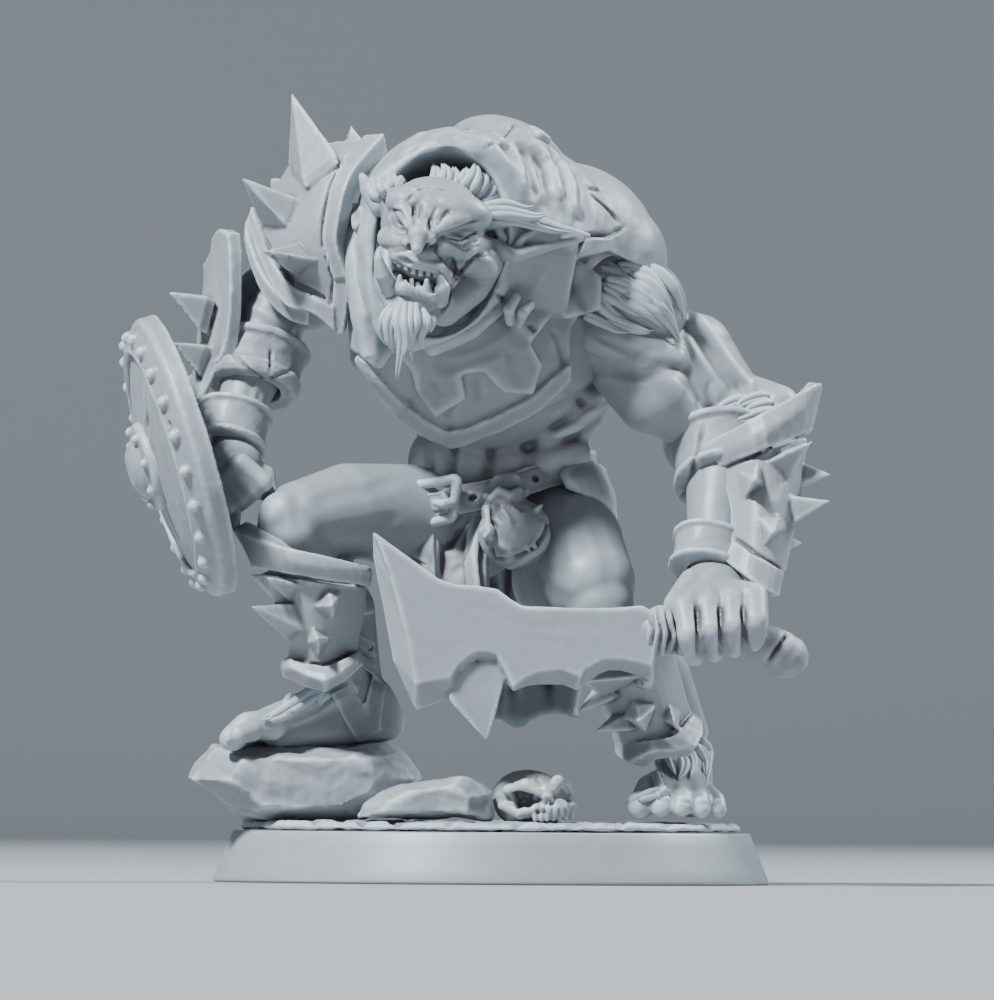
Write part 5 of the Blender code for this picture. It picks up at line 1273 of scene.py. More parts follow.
cast(right_greave, "right_greave", slot="armour_resin", finish=armour_finish)


def strap(form, tree, start, end, lift=0.3, sunk=0.5):
    """A flat band laid on the skin, from one pair of edge points to the other, drawn from the front."""
    rows = []
    for k in range(13):
        edges = [[a + (b - a) * k / 12 for a, b in zip(*ends)] for ends in zip(start, end)]
        across = [tuple(a + (b - a) * j / 4 for a, b in zip(*edges)) for j in range(5)]
        outside = seen(tree, across, lift=lift)
        inside = seen(tree, across, lift=-sunk)
        rows.append([form.verts.new(place) for place in (*outside, *reversed(inside))])
    for near, far in zip(rows, rows[1:]):
        for j in range(len(near)):
            form.faces.new([near[j - 1], near[j], far[j], far[j - 1]])
    form.faces.new(rows[0])
    form.faces.new(list(reversed(rows[-1])))


form = bmesh.new()
strap(form, right_leg_tree, ((-11.6, 9.1), (-10.2, 9.8)), ((-9.7, 5.6), (-7.8, 6.5)))
strap(form, right_leg_tree, ((-8.4, 11.4), (-7.4, 10.8)), ((-9.2, 7.9), (-8, 6.8)), lift=0.42)
strap(form, right_leg_tree, ((-9.4, 15.7), (-9.3, 14.7)), ((-8.2, 16.1), (-8, 15)))
strap(form, right_leg_tree, ((-9.6, 12.5), (-9.5, 11.6)), ((-7.7, 13), (-7.5, 11.9)))
bmesh.ops.recalc_face_normals(form, faces=form.faces)
right_straps = melted("right_leg_straps", form, PLATE_GRID, softness=2)
cast(right_straps, "right_leg", slot="leather_resin", finish=leather_finish)

form = bmesh.new()
plate(form, [
    [(5, -4.6, 12.4), (6, -8, 12.4), (8.1, -11.4, 13.1), (10.3, -11.6, 13.4), (12.3, -9, 13.4),
    (12.7, -5.6, 13.1)],
    [(6.7, -4.4, 9.9), (7.6, -7.6, 9.9), (9.4, -10, 10.2), (11.4, -10, 10.5), (13.2, -7.2, 10.9),
    (13.3, -4.6, 10.9)],
    [(8.3, -3.4, 7.2), (9, -6.4, 7), (10.7, -8.6, 7.2), (12.4, -8.4, 7.6), (13.9, -5.8, 8.6),
    (13.9, -3.6, 8.6)],
    [(8.7, -2.8, 5.8), (9.6, -5.8, 5.5), (11.1, -7.8, 5.8), (13, -7.4, 6), (14.3, -4.8, 7.6),
    (14.3, -2.8, 7.6)],
], 0.9)
plate(form, [
    [(8.8, -3.2, 6), (10, -7, 5.8), (11.4, -9.2, 6), (13, -8.8, 6.3), (14.3, -6.2, 7.8),
    (14.4, -3.2, 7.9)],
    [(8.8, -3.2, 5), (9.7, -7.4, 4.3), (11.4, -9.8, 5.2), (14.6, -8.6, 5.5), (15.1, -5.8, 7.3),
    (15, -3, 7.3)],
], 1.2, count=2)
spike(form, [(7.8, -8, 10.5), (7.7, -9.4, 9), (10.1, -11.6, 10.4), (8.7, -10.6, 11.1)], (6.3, -12.4, 10))
spike(form, [(7.1, -7, 9.5), (7.8, -7.4, 8.3), (8.6, -9.6, 8.8), (7.8, -9.4, 9.5)], (6, -10.4, 7.8))
spike(form, [(8.4, -6.4, 7.6), (8.7, -6.8, 6.5), (9.9, -8.6, 6.6), (9.3, -8.6, 7.6)], (7.3, -9.8, 6.5))
spike(form, [(10, -9.4, 8.8), (9.4, -8.8, 7.5), (10.9, -9.4, 6.5), (11.6, -9.8, 8.3)], (10.4, -13, 7.2))
studs(
    form,
    ([(12.6, 8.5), (12.2, 7.3), (13.3, 6.6), (13.4, 8.1)], (12.9, -9.8, 7.2)),
    ([(10.4, 10.6), (10.1, 9.8), (11.3, 9.5), (11.6, 10.2)], (10.7, -12.4, 9.7)),
)
left_greave = melted("left_greave_steel", form, PLATE_GRID, softness=1)
rough(left_greave, 1.8, 0.03, seed=43)
cast(left_greave, "left_greave", slot="armour_resin", finish=armour_finish)


# ------------------------------------------------------------------ belt
# A broad leather belt, sculpted in the round, that slants down to a square-framed buckle on the belly. Its
# free end and a hanging strap have diamond holes.

form = bmesh.new()
plate(form, [
    [(-6.5, 7.6, 25.3), (-7.4, 2.4, 24.1), (-6.7, -2.6, 23.7), (-4.8, -4.4, 23.7), (-2.7, -5.2, 24.1),
    (-0.2, -5.4, 24.6),
     (2.8, -4.6, 25.6), (6.1, -1.6, 26.7), (7.3, 3, 26.9), (6.7, 6.6, 27)],
    [(-6.5, 7.8, 24.4), (-7.5, 2.4, 23.1), (-6.7, -2.8, 22.6), (-4.8, -4.8, 22.6), (-2.7, -5.5, 23),
    (-0.2, -5.7, 23.6),
     (3, -4.9, 24.6), (6.3, -1.8, 25.7), (7.5, 3.2, 26), (6.8, 6.8, 26)],
    [(-6.5, 7.6, 23.6), (-7.4, 2.4, 22.1), (-6.7, -2.8, 21.6), (-4.8, -4.6, 21.6), (-2.7, -5.3, 21.9),
    (-0.3, -5.5, 22.5),
     (3, -4.7, 23.6), (6.3, -1.6, 24.7), (7.5, 3, 25), (6.8, 6.6, 25)],
], 1.1)
plate(form, [
    [(6.7, 6.6, 27), (3.5, 8.2, 27), (-0.1, 9, 26.6), (-3.6, 8.8, 26), (-6.5, 7.6, 25.3)],
    [(6.7, 6.6, 25), (3.5, 8.2, 24.9), (-0.1, 9, 24.4), (-3.6, 8.8, 24), (-6.5, 7.6, 23.6)],
][::-1], 1.0)
plate(form, [
    [(-7.2, -3.6, 23), (-5.7, -5.4, 23.3), (-3.6, -6.4, 23.7)],
    [(-6.9, -3.8, 22.2), (-5.1, -5.7, 22.5), (-3.2, -6.6, 22.8)],
    [(-6.5, -3.7, 21.5), (-4.8, -5.5, 21.7), (-3.1, -6.4, 22)],
], 0.7)
plate(form, [
    [(-6.2, -4.8, 21.6), (-5.2, -5.3, 21.6), (-4.2, -5.5, 21.6)],
    [(-6.1, -5.2, 20.3), (-5.1, -5.8, 20.1), (-4.2, -6, 19.7)],
    [(-5.9, -5.5, 19), (-4.9, -6, 18.4), (-4.1, -6.1, 17.4)],
], 0.6)
belt = melted("belt_leather", form, PLATE_GRID * 1.1, softness=1)
for x, z, half_x, half_z in (
    (*(-6, 22.3), 0.42, 0.3), (*(-1.5, 23.2), 0.5, 0.36), (*(-5.1, 20.5), 0.3, 0.5),
    (*(3, 24.6), 0.4, 0.3),
):
    ring = [(x - half_x, z), (x, z + half_z), (x + half_x, z), (x, z - half_z), (x - half_x, z)]
    front_strokes(belt, [refined(ring, 0.1)], 0.14, -0.14)
    front_strokes(belt, [[(x - half_x * 0.5, z), (x + half_x * 0.5, z)]], 0.26, 0.5)
front_strokes(belt, [
    [(-2.6, 23.9), (-0.2, 24.4), (2.8, 25.4), (6, 26.4)],
    [(-2.6, 22.1), (-0.3, 22.7), (3, 23.8), (6.3, 24.9)],
    [(-6.8, 22.7), (-3.6, 23.4)], [(-6.4, 21.8), (-3.4, 22.2)],
], 0.13, 0.14)
rough(belt, 1.4, 0.05, seed=91)
cast(belt, "belt", slot="leather_resin", finish=leather_finish)

form = bmesh.new()
frame_corners = [(-5.2, -5.6, 24.1), (-2.8, -6.5, 24.5), (-2.6, -6.6, 24.3), (-2.9, -6.5, 21.9),
    (-3.1, -6.4, 21.7), (-4.8, -5.6, 21.3)]
sinew(form, frame_corners, [0.36, 0.38, 0.38, 0.38, 0.38, 0.34], rings=12)
sinew(form, [(-5.2, -5.6, 24.1), (-5.1, -5, 23.3)], [0.42, 0.35], rings=12)
sinew(form, [(-4.8, -5.6, 21.3), (-4.9, -5.4, 21.9)], [0.4, 0.35], rings=12)
sinew(form, [(-2.9, -6.7, 22.8), (-3.6, -7.1, 22.7), (-4.2, -6.7, 22.8)], [0.36, 0.36, 0.26], rings=12)
buckle = melted("buckle_brass", form, PLATE_GRID * 0.9, softness=1)
cast(buckle, "belt_buckle", slot="armour_resin", finish=armour_finish)


# ------------------------------------------------------------------ pouch
# A stuffed hide pouch on the belt, gathered at a ruffled mouth by a tied thong, with a sewn bottom seam.

form = bmesh.new()
blob(form, (1.5, -7.2, 20.5), (2.65, 2.0, 2.35), turn=(0, 12, 0), rings=32)
blob(form, (2.1, -7, 21.1), (1.9, 1.7, 1.9))
blob(form, (0.4, -6.8, 22.1), (1.3, 1.1, 1.2))
sinew(form, [(-0.5, -6.8, 23.3), (0.1, -7.4, 22.9), (0.8, -7.6, 22.8), (1.7, -7.4, 23.1),
    (2.2, -6.6, 23.6)],
      [0.34, 0.42, 0.42, 0.42, 0.34], rings=12)
sinew(form, [(-0.5, -6.2, 23.3), (0.4, -6.4, 24.3), (1.4, -6.4, 24.4), (2.2, -6.2, 23.6)],
    [0.4, 0.6, 0.6, 0.4], rings=12)
sinew(form, [(-0.2, -7.6, 23.1), (0.4, -7.8, 23.6), (1.1, -7.9, 23.3), (1.8, -7.3, 23.7)],
    [0.3, 0.34, 0.34, 0.3], rings=12)
blob(form, (0.9, -6.4, 23.6), (1.4, 0.9, 1.0))
sinew(form, [(-0.5, -7.8, 22.4), (-0.3, -8.8, 21.6), (-0.5, -9, 21)], [0.28, 0.26, 0.26], rings=12)
for place in ((-0.6, -8.8, 20.7), (-0.3, -9.1, 20.8), (-0.4, -8.9, 20.4)):
    blob(form, place, (0.42, 0.4, 0.42))
pouch = melted("pouch_hide", form, PLATE_GRID, softness=2)
front_strokes(pouch, [
    [(-1.3, 19.3), (-0.3, 18.8), (0.8, 18.7), (2, 19), (3, 19.6), (3.6, 20.4), (3.9, 21.4), (3.4, 22.4)],
], 0.26, 0.32)
front_strokes(pouch, [
    [(-1.2, 18.8), (-0.1, 18.3), (1.1, 18.2), (2.4, 18.7), (3.5, 19.5), (4.1, 20.6)],
], 0.5, -0.16)
front_strokes(pouch, [
    [(2.3, 19.8), (2.6, 19.3)], [(2.7, 20), (3, 19.5)], [(2.9, 22.2), (3.3, 22.5)],
    [(-1.2, 19.7), (-0.9, 19.1)],
], 0.24, -0.4)
front_strokes(pouch, [
    [(0.2, 22.7), (0.4, 22), (0.9, 21.4)], [(0.8, 22.6), (1.4, 21.8), (1.7, 21)],
    [(1.5, 22.7), (2.2, 22.1)],
    [(-0.1, 22.3), (-0.1, 21.6), (0.2, 20.7)],
], 0.3, 0.18)
rough(pouch, 1.2, 0.05, seed=93)
cast(pouch, "belt_pouch", slot="leather_resin", finish=leather_finish)


# ------------------------------------------------------------------ loincloths
# Two cloths that hang from the belt: a pleated one in front and a long ragged one behind, which also wraps
# the left hip. They are sculpted stiff, in resin.

form = bmesh.new()
plate(form, [
    [(-5.7, -3.8, 22.1), (-4.2, -4.8, 21.8), (-2.8, -4.6, 22.1), (-1.4, -5, 22.3), (-0.1, -4.6, 22.6)],
    [(-6.1, -4.4, 19.9), (-4.5, -5.8, 19.7), (-2.9, -5, 19.9), (-1.4, -6.2, 19.9), (-0.3, -5.2, 19.7)],
    [(-6.2, -5, 17.7), (-4.7, -6, 17.4), (-3.1, -5.4, 17.6), (-1.2, -7, 17.7), (-0.2, -5.8, 17.2)],
    [(-6.4, -5.2, 16), (-4.8, -6, 15.7), (-3.1, -5.6, 15.7), (-1.2, -7.2, 15.7), (-0.1, -5.8, 15.5)],
], 0.7)
front_cloth = melted("front_cloth", form, PLATE_GRID * 1.2, softness=3)
front_strokes(front_cloth, [
    [(-0.9, 22.1), (-1.8, 19.9), (-2.8, 17.5)], [(-1.5, 22.1), (-2.9, 20.3), (-3.8, 18.8)],
    [(-3.8, 21.7), (-3.5, 19.7), (-3.6, 17.4)],
    [(-0.5, 21.7), (-0.8, 18.8), (-0.6, 16.3)], [(-2.1, 21.7), (-2.4, 18.8), (-2.1, 16)],
], 0.5, 0.35)
rough(front_cloth, 1.8, 0.06, seed=95)
cloth_finish = grey_resin("cloth_resin", (0.29, 0.31, 0.335), roughness=0.52, grain=0.05,
    grain_depth=0.008)
cast(front_cloth, "loincloth_front", slot="cloth_resin", finish=cloth_finish)

form = bmesh.new()
plate(form, [
    [(-2.9, 7.6, 23.1), (-0.1, 8.6, 23.3), (2.8, 8.2, 23.6), (5.7, 6.6, 24.3), (7.4, 3.2, 25.3),
    (6.5, -1.6, 25.6), (4.7, -4.4, 25)],
    [(-3.2, 8, 21.7), (-0.1, 9.2, 21.7), (3, 8.8, 22), (6.1, 6.8, 22.4), (8.1, 2.8, 23.1),
    (7.1, -2.6, 24.3), (4.8, -5, 24.4)],
    [(-3.1, 7.6, 20.3), (-0.1, 9, 20.1), (3.1, 8.8, 20.3), (6.3, 6.8, 20.8), (8.1, 2.8, 21.4),
    (7.7, -2, 22.6), (5, -5, 23.9)],
], 0.7)
plate(form, [
    [(-3.1, 7.2, 21), (-1.1, 8.4, 21), (1, 8.8, 21), (3.2, 8.4, 21), (5.5, 7.2, 21.1)],
    [(-3.4, 6.2, 16), (-1.2, 7.8, 16), (1, 7.6, 16), (3.5, 8, 16), (6, 6.4, 16.1)],
    [(-2.8, 6, 10.9), (-0.8, 7.2, 10.9), (1.2, 6.8, 10.8), (3.8, 7.4, 10.9), (6.3, 6, 11.6)],
    [(-1.2, 5.8, 7.2), (0.2, 6.8, 7.6), (1.8, 6.4, 6.8), (4, 7, 7.9), (5.8, 5.8, 7.6)],
], 0.8)
rear_cloth = melted("rear_cloth", form, PLATE_GRID * 1.5, softness=3)
for side in (-1, 1):
    front_strokes(rear_cloth, [
        [(-1.5, 20.3), (-1.2, 14.5), (-0.6, 8.1)], [(1, 20.3), (1.2, 14.5), (1.5, 7.7)],
        [(3.5, 20.3), (3.9, 14.5), (4.1, 8.4)], [(-0.1, 18.8), (0.1, 13.1), (0.7, 8.8)],
    ], 0.7, 0.4, side=side)
rough(rear_cloth, 2.0, 0.08, seed=97)
cast(rear_cloth, "loincloth_back", slot="cloth_resin", finish=cloth_finish)


# ------------------------------------------------------------------ cleaver
# The cleaver: a heavy, notched blade with a broad ground edge and a barb, on a wrapped grip with a capped
# pommel. Blade and grip are separate castings that meet inside the fist.

form = bmesh.new()
front_edge = [
    (-8.5, 20.5), (-5.8, 18.6), (-3.9, 17.2), (-2.6, 16.8), (-1, 16.7), (0.3, 16.5), (1.2, 15.8),
    (2.1, 15.3), (5.3, 15.2),
    (8.5, 15.2), (10.6, 15.4), (11.4, 14.9), (11.5, 13.8), (11.6, 12.8), (11.4, 11.1), (10.3, 11.4),
    (9.1, 11.6), (8.1, 11.6),
    (7.5, 11.5), (6.7, 11), (6.3, 10.3), (5, 10.8), (3.5, 10.7), (2.5, 10.3), (1.5, 9.5), (0.9, 10.8),
    (0.3, 11.9),
    (-0.3, 12.1), (-1, 12.1), (-1.6, 11.8), (-2.4, 11.1), (-2.9, 10.2), (-4.2, 10), (-5.4, 9.8),
    (-6, 13.1), (-7, 16.7),
]
rear_edge = [
    (-8.5, 20.5), (-5.8, 18.6), (-3.9, 17.2), (-2.6, 16.8), (-1, 16.7), (0.3, 16.5), (1.2, 15.8),
    (2.1, 15.3), (5.3, 15.2),
    (8.5, 15.2), (10.6, 15.4), (11.4, 14.9), (11.6, 13.7), (11.7, 12.4), (11.4, 10.1), (10.3, 10.5),
    (9.1, 10.8), (8.1, 10.8),
    (7.5, 10.5), (6.7, 9.9), (6, 9.4), (5, 9.8), (3.5, 9.8), (2.5, 9.7), (1.5, 9.3), (0.7, 10.2),
    (0.1, 10.9),
    (-0.5, 11.1), (-1.1, 11.1), (-1.8, 10.6), (-2.5, 9.8), (-3, 8.8), (-4.2, 8.3), (-5.4, 7.9),
    (-7, 11.4), (-8.5, 18.8),
]
FACE_Y, REAR_Y = -14.7, -12.8
front = [form.verts.new((x, FACE_Y, z)) for x, z in front_edge]
rear = [form.verts.new((x, REAR_Y, z)) for x, z in rear_edge]
middle = [form.verts.new((x, (FACE_Y * 0.35 + REAR_Y * 0.65), z)) for x, z in rear_edge]
for near, far in ((front, middle), (middle, rear)):
    for k in range(len(near)):
        form.faces.new([near[k - 1], near[k], far[k], far[k - 1]])
bmesh.ops.triangulate(form, faces=[form.faces.new(front), form.faces.new(list(reversed(rear)))])
bmesh.ops.recalc_face_normals(form, faces=form.faces)
spike(form, [(-3, -14.1, 8.6), (-2.2, -14.1, 10.5), (-0.1, -14.1, 11.1), (0.9, -14.1, 10.2),
    (0.9, -13.3, 10.2),
             (-0.1, -13.3, 11.1), (-2.2, -13.3, 10.5), (-3, -13.3, 8.6)], (-0.3, -13.7, 5.6), sunk=0.4)
blade = melted("blade_steel", form, PLATE_GRID * 0.95, softness=2)
front_strokes(blade, [[(-3.6, 16), (2.1, 13.9), (7.8, 13.8)], [(2.1, 13.1), (5, 12.6)],
    [(-1.5, 15.2), (0.7, 14.7)]],
              0.7, 0.03)
rough(blade, 2.4, 0.035, seed=51)
blade_finish = grey_resin("blade_resin", (0.33, 0.355, 0.38), roughness=0.36, grain=0.05,
    grain_depth=0.004)
cast(blade, "cleaver_blade", slot="blade_resin", finish=blade_finish)

form = bmesh.new()
sinew(form, [(11.4, -13.5, 13.7), (15, -12.8, 13.1), (19.8, -11.6, 12.6)], [1.5, 1.45, 1.45])
blob(form, (11.8, -13.5, 13.6), (1.4, 1.7, 1.9), turn=(0, 10, -10))
sinew(form, [(19.9, -11.5, 12.5), (20.9, -11, 11.9)], [1.5, 1.5])
sinew(form, [(20.2, -11.3, 12.3), (20.9, -11, 11.9)], [1.6, 1.56])
handle = melted("grip_wood", form, PLATE_GRID, softness=3)
handle_lines = [
    [(11, 15.4), (11.4, 13.7), (11.1, 12)], [(11.6, 15.3), (12, 13.6), (11.7, 11.8)],
    [(12.2, 15.2), (12.6, 13.4), (12.2, 11.7)],
    [(12.7, 15.1), (13.2, 13.4), (12.8, 11.6)], [(21, 13.6), (20.2, 12.5), (19.5, 11.4)],
]
front_strokes(handle, handle_lines, 0.22, 0.4)
front_strokes(handle, handle_lines, 0.22, 0.4, side=1)
rough(handle, 1.0, 0.04, seed=53)
cast(handle, "cleaver_handle", slot="leather_resin", finish=leather_finish)


# ------------------------------------------------------------------ shield
# The round shield: a plank board in a thick riveted steel rim with a riveted boss, seen nearly edge-on on
# the right fist. The board, rim, boss and the block that the fist holds are separate castings.

SHIELD_AXES = aim((-22.1, -7, 26), tuple(Vector((-22.1, -7, 26)) + Vector((-0.945, -0.15, -0.29))),
    (0.3, 0, 1))


def turned_ring(form, outline, steps=96):
    """A ring turned about Z, whose section is the outline of radius and height."""
    ring = [form.verts.new((radius, 0, height)) for radius, height in outline]
    edges = [form.edges.new((ring[k - 1], ring[k])) for k in range(len(ring))]
    bmesh.ops.spin(
        form, geom=ring + edges, cent=(0, 0, 0), axis=(0, 0, 1), angle=math.tau, steps=steps,
        use_merge=True
    )


def rivet(form, radius, angle, height, size):
    """A round-headed rivet."""
    place = (radius * math.cos(angle), radius * math.sin(angle), height)
    blob(form, place, (size, size, size * 1.25), rings=14)


form = bmesh.new()
turned_ring(form, [(8.1, 0.9), (8.1, 1.8), (8.3, 1.95), (10.15, 0.75), (10.3, 0.5), (10.3, -0.7),
    (9.8, -0.7)])
for k in range(22):
    rivet(form, 9.2, math.tau * (k + 0.3) / 22, 1.36, 0.5)
bmesh.ops.recalc_face_normals(form, faces=form.faces)
bmesh.ops.transform(form, matrix=SHIELD_AXES, verts=form.verts)
shield_rim = melted("shield_rim_steel", form, PLATE_GRID * 1.1, softness=1)
stroke(shield_rim, [
    refined([(-23.3, -15, 28.2), (-22.6, -15.4, 27.9), (-22, -15.2, 27.6)], 0.2),
    refined([(-23, -15.6, 28.1), (-22.5, -15.8, 27.7)], 0.2),
], 0.35, 0.5)
rough(shield_rim, 1.6, 0.04, seed=61)
cast(shield_rim, "shield_rim", slot="armour_resin", finish=armour_finish)

form = bmesh.new()
turned_ring(form, [(0.4, 2.1), (0.4, 2.75), (3, 2.6), (6, 2.1), (8.8, 1.3), (8.8, 0.7), (6, 1.45),
    (3, 1.95)])
blob(form, (0, 0, 2.4), (1.2, 1.2, 0.36))
bmesh.ops.recalc_face_normals(form, faces=form.faces)
board = melted("shield_planks", form, 0.16 / FINE, softness=1)
planks = []
for k in range(-3, 4):
    half = math.sqrt(8.4 ** 2 - (k * 2.1 + 0.7) ** 2)
    planks.append([(-half, k * 2.1 + 0.7), (half, k * 2.1 + 0.7)])


def domed(x, y):
    """The height of the board's outer face, which bulges towards the boss."""
    return 2.75 - 1.45 * (x * x + y * y) / 8.8 ** 2


for side in (-1, 1):
    stroke(board,
        [refined([(x, y, domed(x, y) - 0.33 + 0.33 * side) for x,
        y in refined(line, 0.6)]) for line in planks], 0.3, 0.3)
grain_lines = []
luck = random.Random(5)
for k in range(90):
    y = luck.uniform(-8, 8)
    x = luck.uniform(-8, 6)
    length = luck.uniform(1, 3)
    if math.hypot(max(abs(x), abs(x + length)), y) < 8.2:
        wave = luck.uniform(-0.1, 0.1)
        grain_lines.append([
            (x + length * share, y + wave * math.sin(3 * share), domed(x + length * share, y))
            for share in (0, 0.25, 0.5, 0.75, 1)
        ])
stroke(board, grain_lines, 0.13, 0.1)
stroke(board, [
    [(x, y, domed(x, y)) for x, y in ((2.6, -2.6), (3.5, -3.4), (4.4, -3.8), (5.6, -3.8), (6.4, -4.0))],
    [(x, y, domed(x, y)) for x, y in ((2.8, 1.6), (4.0, 2.4), (5.0, 2.6), (6.4, 2.2), (7.8, 2.4))],
], 0.35, 0.4)
board.data.transform(SHIELD_AXES)
wood_finish = grey_resin("wood_resin", (0.29, 0.31, 0.33), roughness=0.5, grain=0.07, grain_depth=0.008)
cast(board, "shield_board", slot="wood_resin", finish=wood_finish)

form = bmesh.new()
turned_ring(form, [(0.3, 2.2), (0.3, 4.2), (1.2, 4.1), (1.9, 3.7), (2.4, 3.2), (3.1, 3.05), (3.25, 2.8),
    (3.25, 2.2)],
            steps=64)
blob(form, (0, 0, 3.4), (0.8, 0.8, 0.82))
for k in range(8):
    rivet(form, 2.7, math.tau * (k + 0.2) / 8, 3.15, 0.38)
bmesh.ops.recalc_face_normals(form, faces=form.faces)
bmesh.ops.transform(form, matrix=SHIELD_AXES, verts=form.verts)
shield_boss = melted("shield_boss_steel", form, PLATE_GRID, softness=1)
cast(shield_boss, "shield_boss", slot="armour_resin", finish=armour_finish)

form = bmesh.new()
corners = [(-20.7, -7.4, 22.9), (-18.9, -8.2, 23.1), (-18, -8.6, 22.1), (-18.1, -8.6, 21),
    (-20, -8.2, 20), (-21, -7.2, 20.3)]
near = [form.verts.new(Vector(c) + Vector((0, -0.6, 0))) for c in corners]
far = [form.verts.new(Vector(c) + Vector((0, 1.9, 0))) for c in corners]
form.faces.new(near)
form.faces.new(list(reversed(far)))
for k in range(len(near)):
    form.faces.new([near[k], near[k - 1], far[k - 1], far[k]])
sinew(form, [(-20.7, -6.4, 21.4), (-20.6, -6.4, 26), (-20.5, -6.4, 28.9)], [0.5, 0.5, 0.5], rings=12)
bmesh.ops.recalc_face_normals(form, faces=form.faces)
shield_grip = melted("shield_grip_block", form, PLATE_GRID, softness=2)
cast(shield_grip, "shield_grip", slot="leather_resin", finish=leather_finish)


# ------------------------------------------------------------------ base plinth
# The gaming base: a round resin plinth, 40 mm across the foot, with a sloping edge. It was turned and cast.

form = bmesh.new()
low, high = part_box("base_plinth")
foot_z, top_z = (low.z - ground) / MM, (high.z - ground) / MM
foot_r = (high.x - low.x) / 2 / MM
top_r = foot_r - 1.45
turned_ring(form, [
    (0.5, foot_z + 0.3), (foot_r - 2.4, foot_z + 0.3), (foot_r - 2.5, foot_z), (foot_r - 0.15, foot_z),
    (foot_r, foot_z + 0.12), (foot_r - 0.03, foot_z + 0.3), (top_r + 0.1, top_z - 0.15), (top_r, top_z),
    (0.5, top_z),
], steps=160)
bmesh.ops.recalc_face_normals(form, faces=form.faces)
sharp = [edge for edge in form.edges if len(edge.link_faces) == 2 and edge.calc_face_angle() > 0.5]
bmesh.ops.bevel(
    form, geom=sharp, offset=0.06, segments=2, profile=0.5, affect="EDGES", material=-1,
    clamp_overlap=True
)
bmesh.ops.subdivide_edges(
    form, edges=[edge for edge in form.edges if edge.calc_length() > 1.2], cuts=3, use_grid_fill=True
)
mesh = bpy.data.meshes.new("base_plinth_resin")
form.to_mesh(mesh)
form.free()
plinth = bpy.data.objects.new("base_plinth_resin", mesh)
bpy.context.scene.collection.objects.link(plinth)
base_finish = grey_resin("base_resin", (0.33, 0.355, 0.38), roughness=0.42, grain=0.08, grain_depth=0.003)
cast(plinth, "base_plinth", slot="base_resin", finish=base_finish)


# ------------------------------------------------------------------ paving
# Broken flagstones on the base: a thin casting whose stones have chipped, uneven edges and open joints.

form = bmesh.new()
turned_ring(form, [(0.6, -0.55), (18.0, -0.55), (17.7, -0.02), (0.6, -0.02)], steps=96)
blob(form, (0, 0, -0.3), (1.2, 1.2, 0.28))
bmesh.ops.recalc_face_normals(form, faces=form.faces)
paving = melted("flagstones", form, 0.22 / FINE, softness=1)
luck = random.Random(12)
joints = []
rows = [-16.2, -12.6, -8.4, -4.6, -0.4, 3.8, 8.0, 12.2, 16.0]
for row, y in enumerate(rows):
    half = math.sqrt(max(0.1, 17.7 ** 2 - y * y))
    joints.append([(-half + k * half / 6, y + luck.uniform(-0.35, 0.35), 0) for k in range(13)])
    if row + 1 < len(rows):
        x = -17.5 + luck.uniform(0, 3)
        while x < 17.5:
            if math.hypot(x, (y + rows[row + 1]) / 2) < 17:
                joints.append([(x, y, 0), (x + luck.uniform(-0.5, 0.5), rows[row + 1], 0)])
            x += luck.uniform(3.2, 6.0)
for x in (-12.6, -9.2, -6.6, -3.0, 1.9, 5.7, 9.0, 12.4):
    y = -math.sqrt(17.85 ** 2 - x * x)
    joints.append([(x - 0.2, y - 0.3, -0.5), (x, y, -0.1), (x + 0.2, y + 1.8, 0)])
stroke(paving, [refined(line) for line in joints], 0.5, 0.42)
places, normals = read_skin(paving)
stone_level = np.array([
    noise.cell_vector(Vector((p[0] / 4.2, p[1] / 4.0,
    3.1))).x if p[2] > -0.3 else 0.5 for p in places.tolist()
], dtype=np.float32)
places[:, 2] += (stone_level - 0.5) * 0.16
paving.data.vertices.foreach_set("co", places.ravel())
rough(paving, 1.7, 0.12, seed=71)
rough(paving, 0.5, 0.03, seed=72)
stone_finish = grey_resin("stone_resin", (0.32, 0.345, 0.37), roughness=0.52, grain=0.09,
    grain_depth=0.012)
cast(paving, "paving_slab", slot="stone_resin", finish=stone_finish)


# ------------------------------------------------------------------ rocks
# Two split rocks on the paving, with broken faces and strata: the right foot stands on the bigger one.


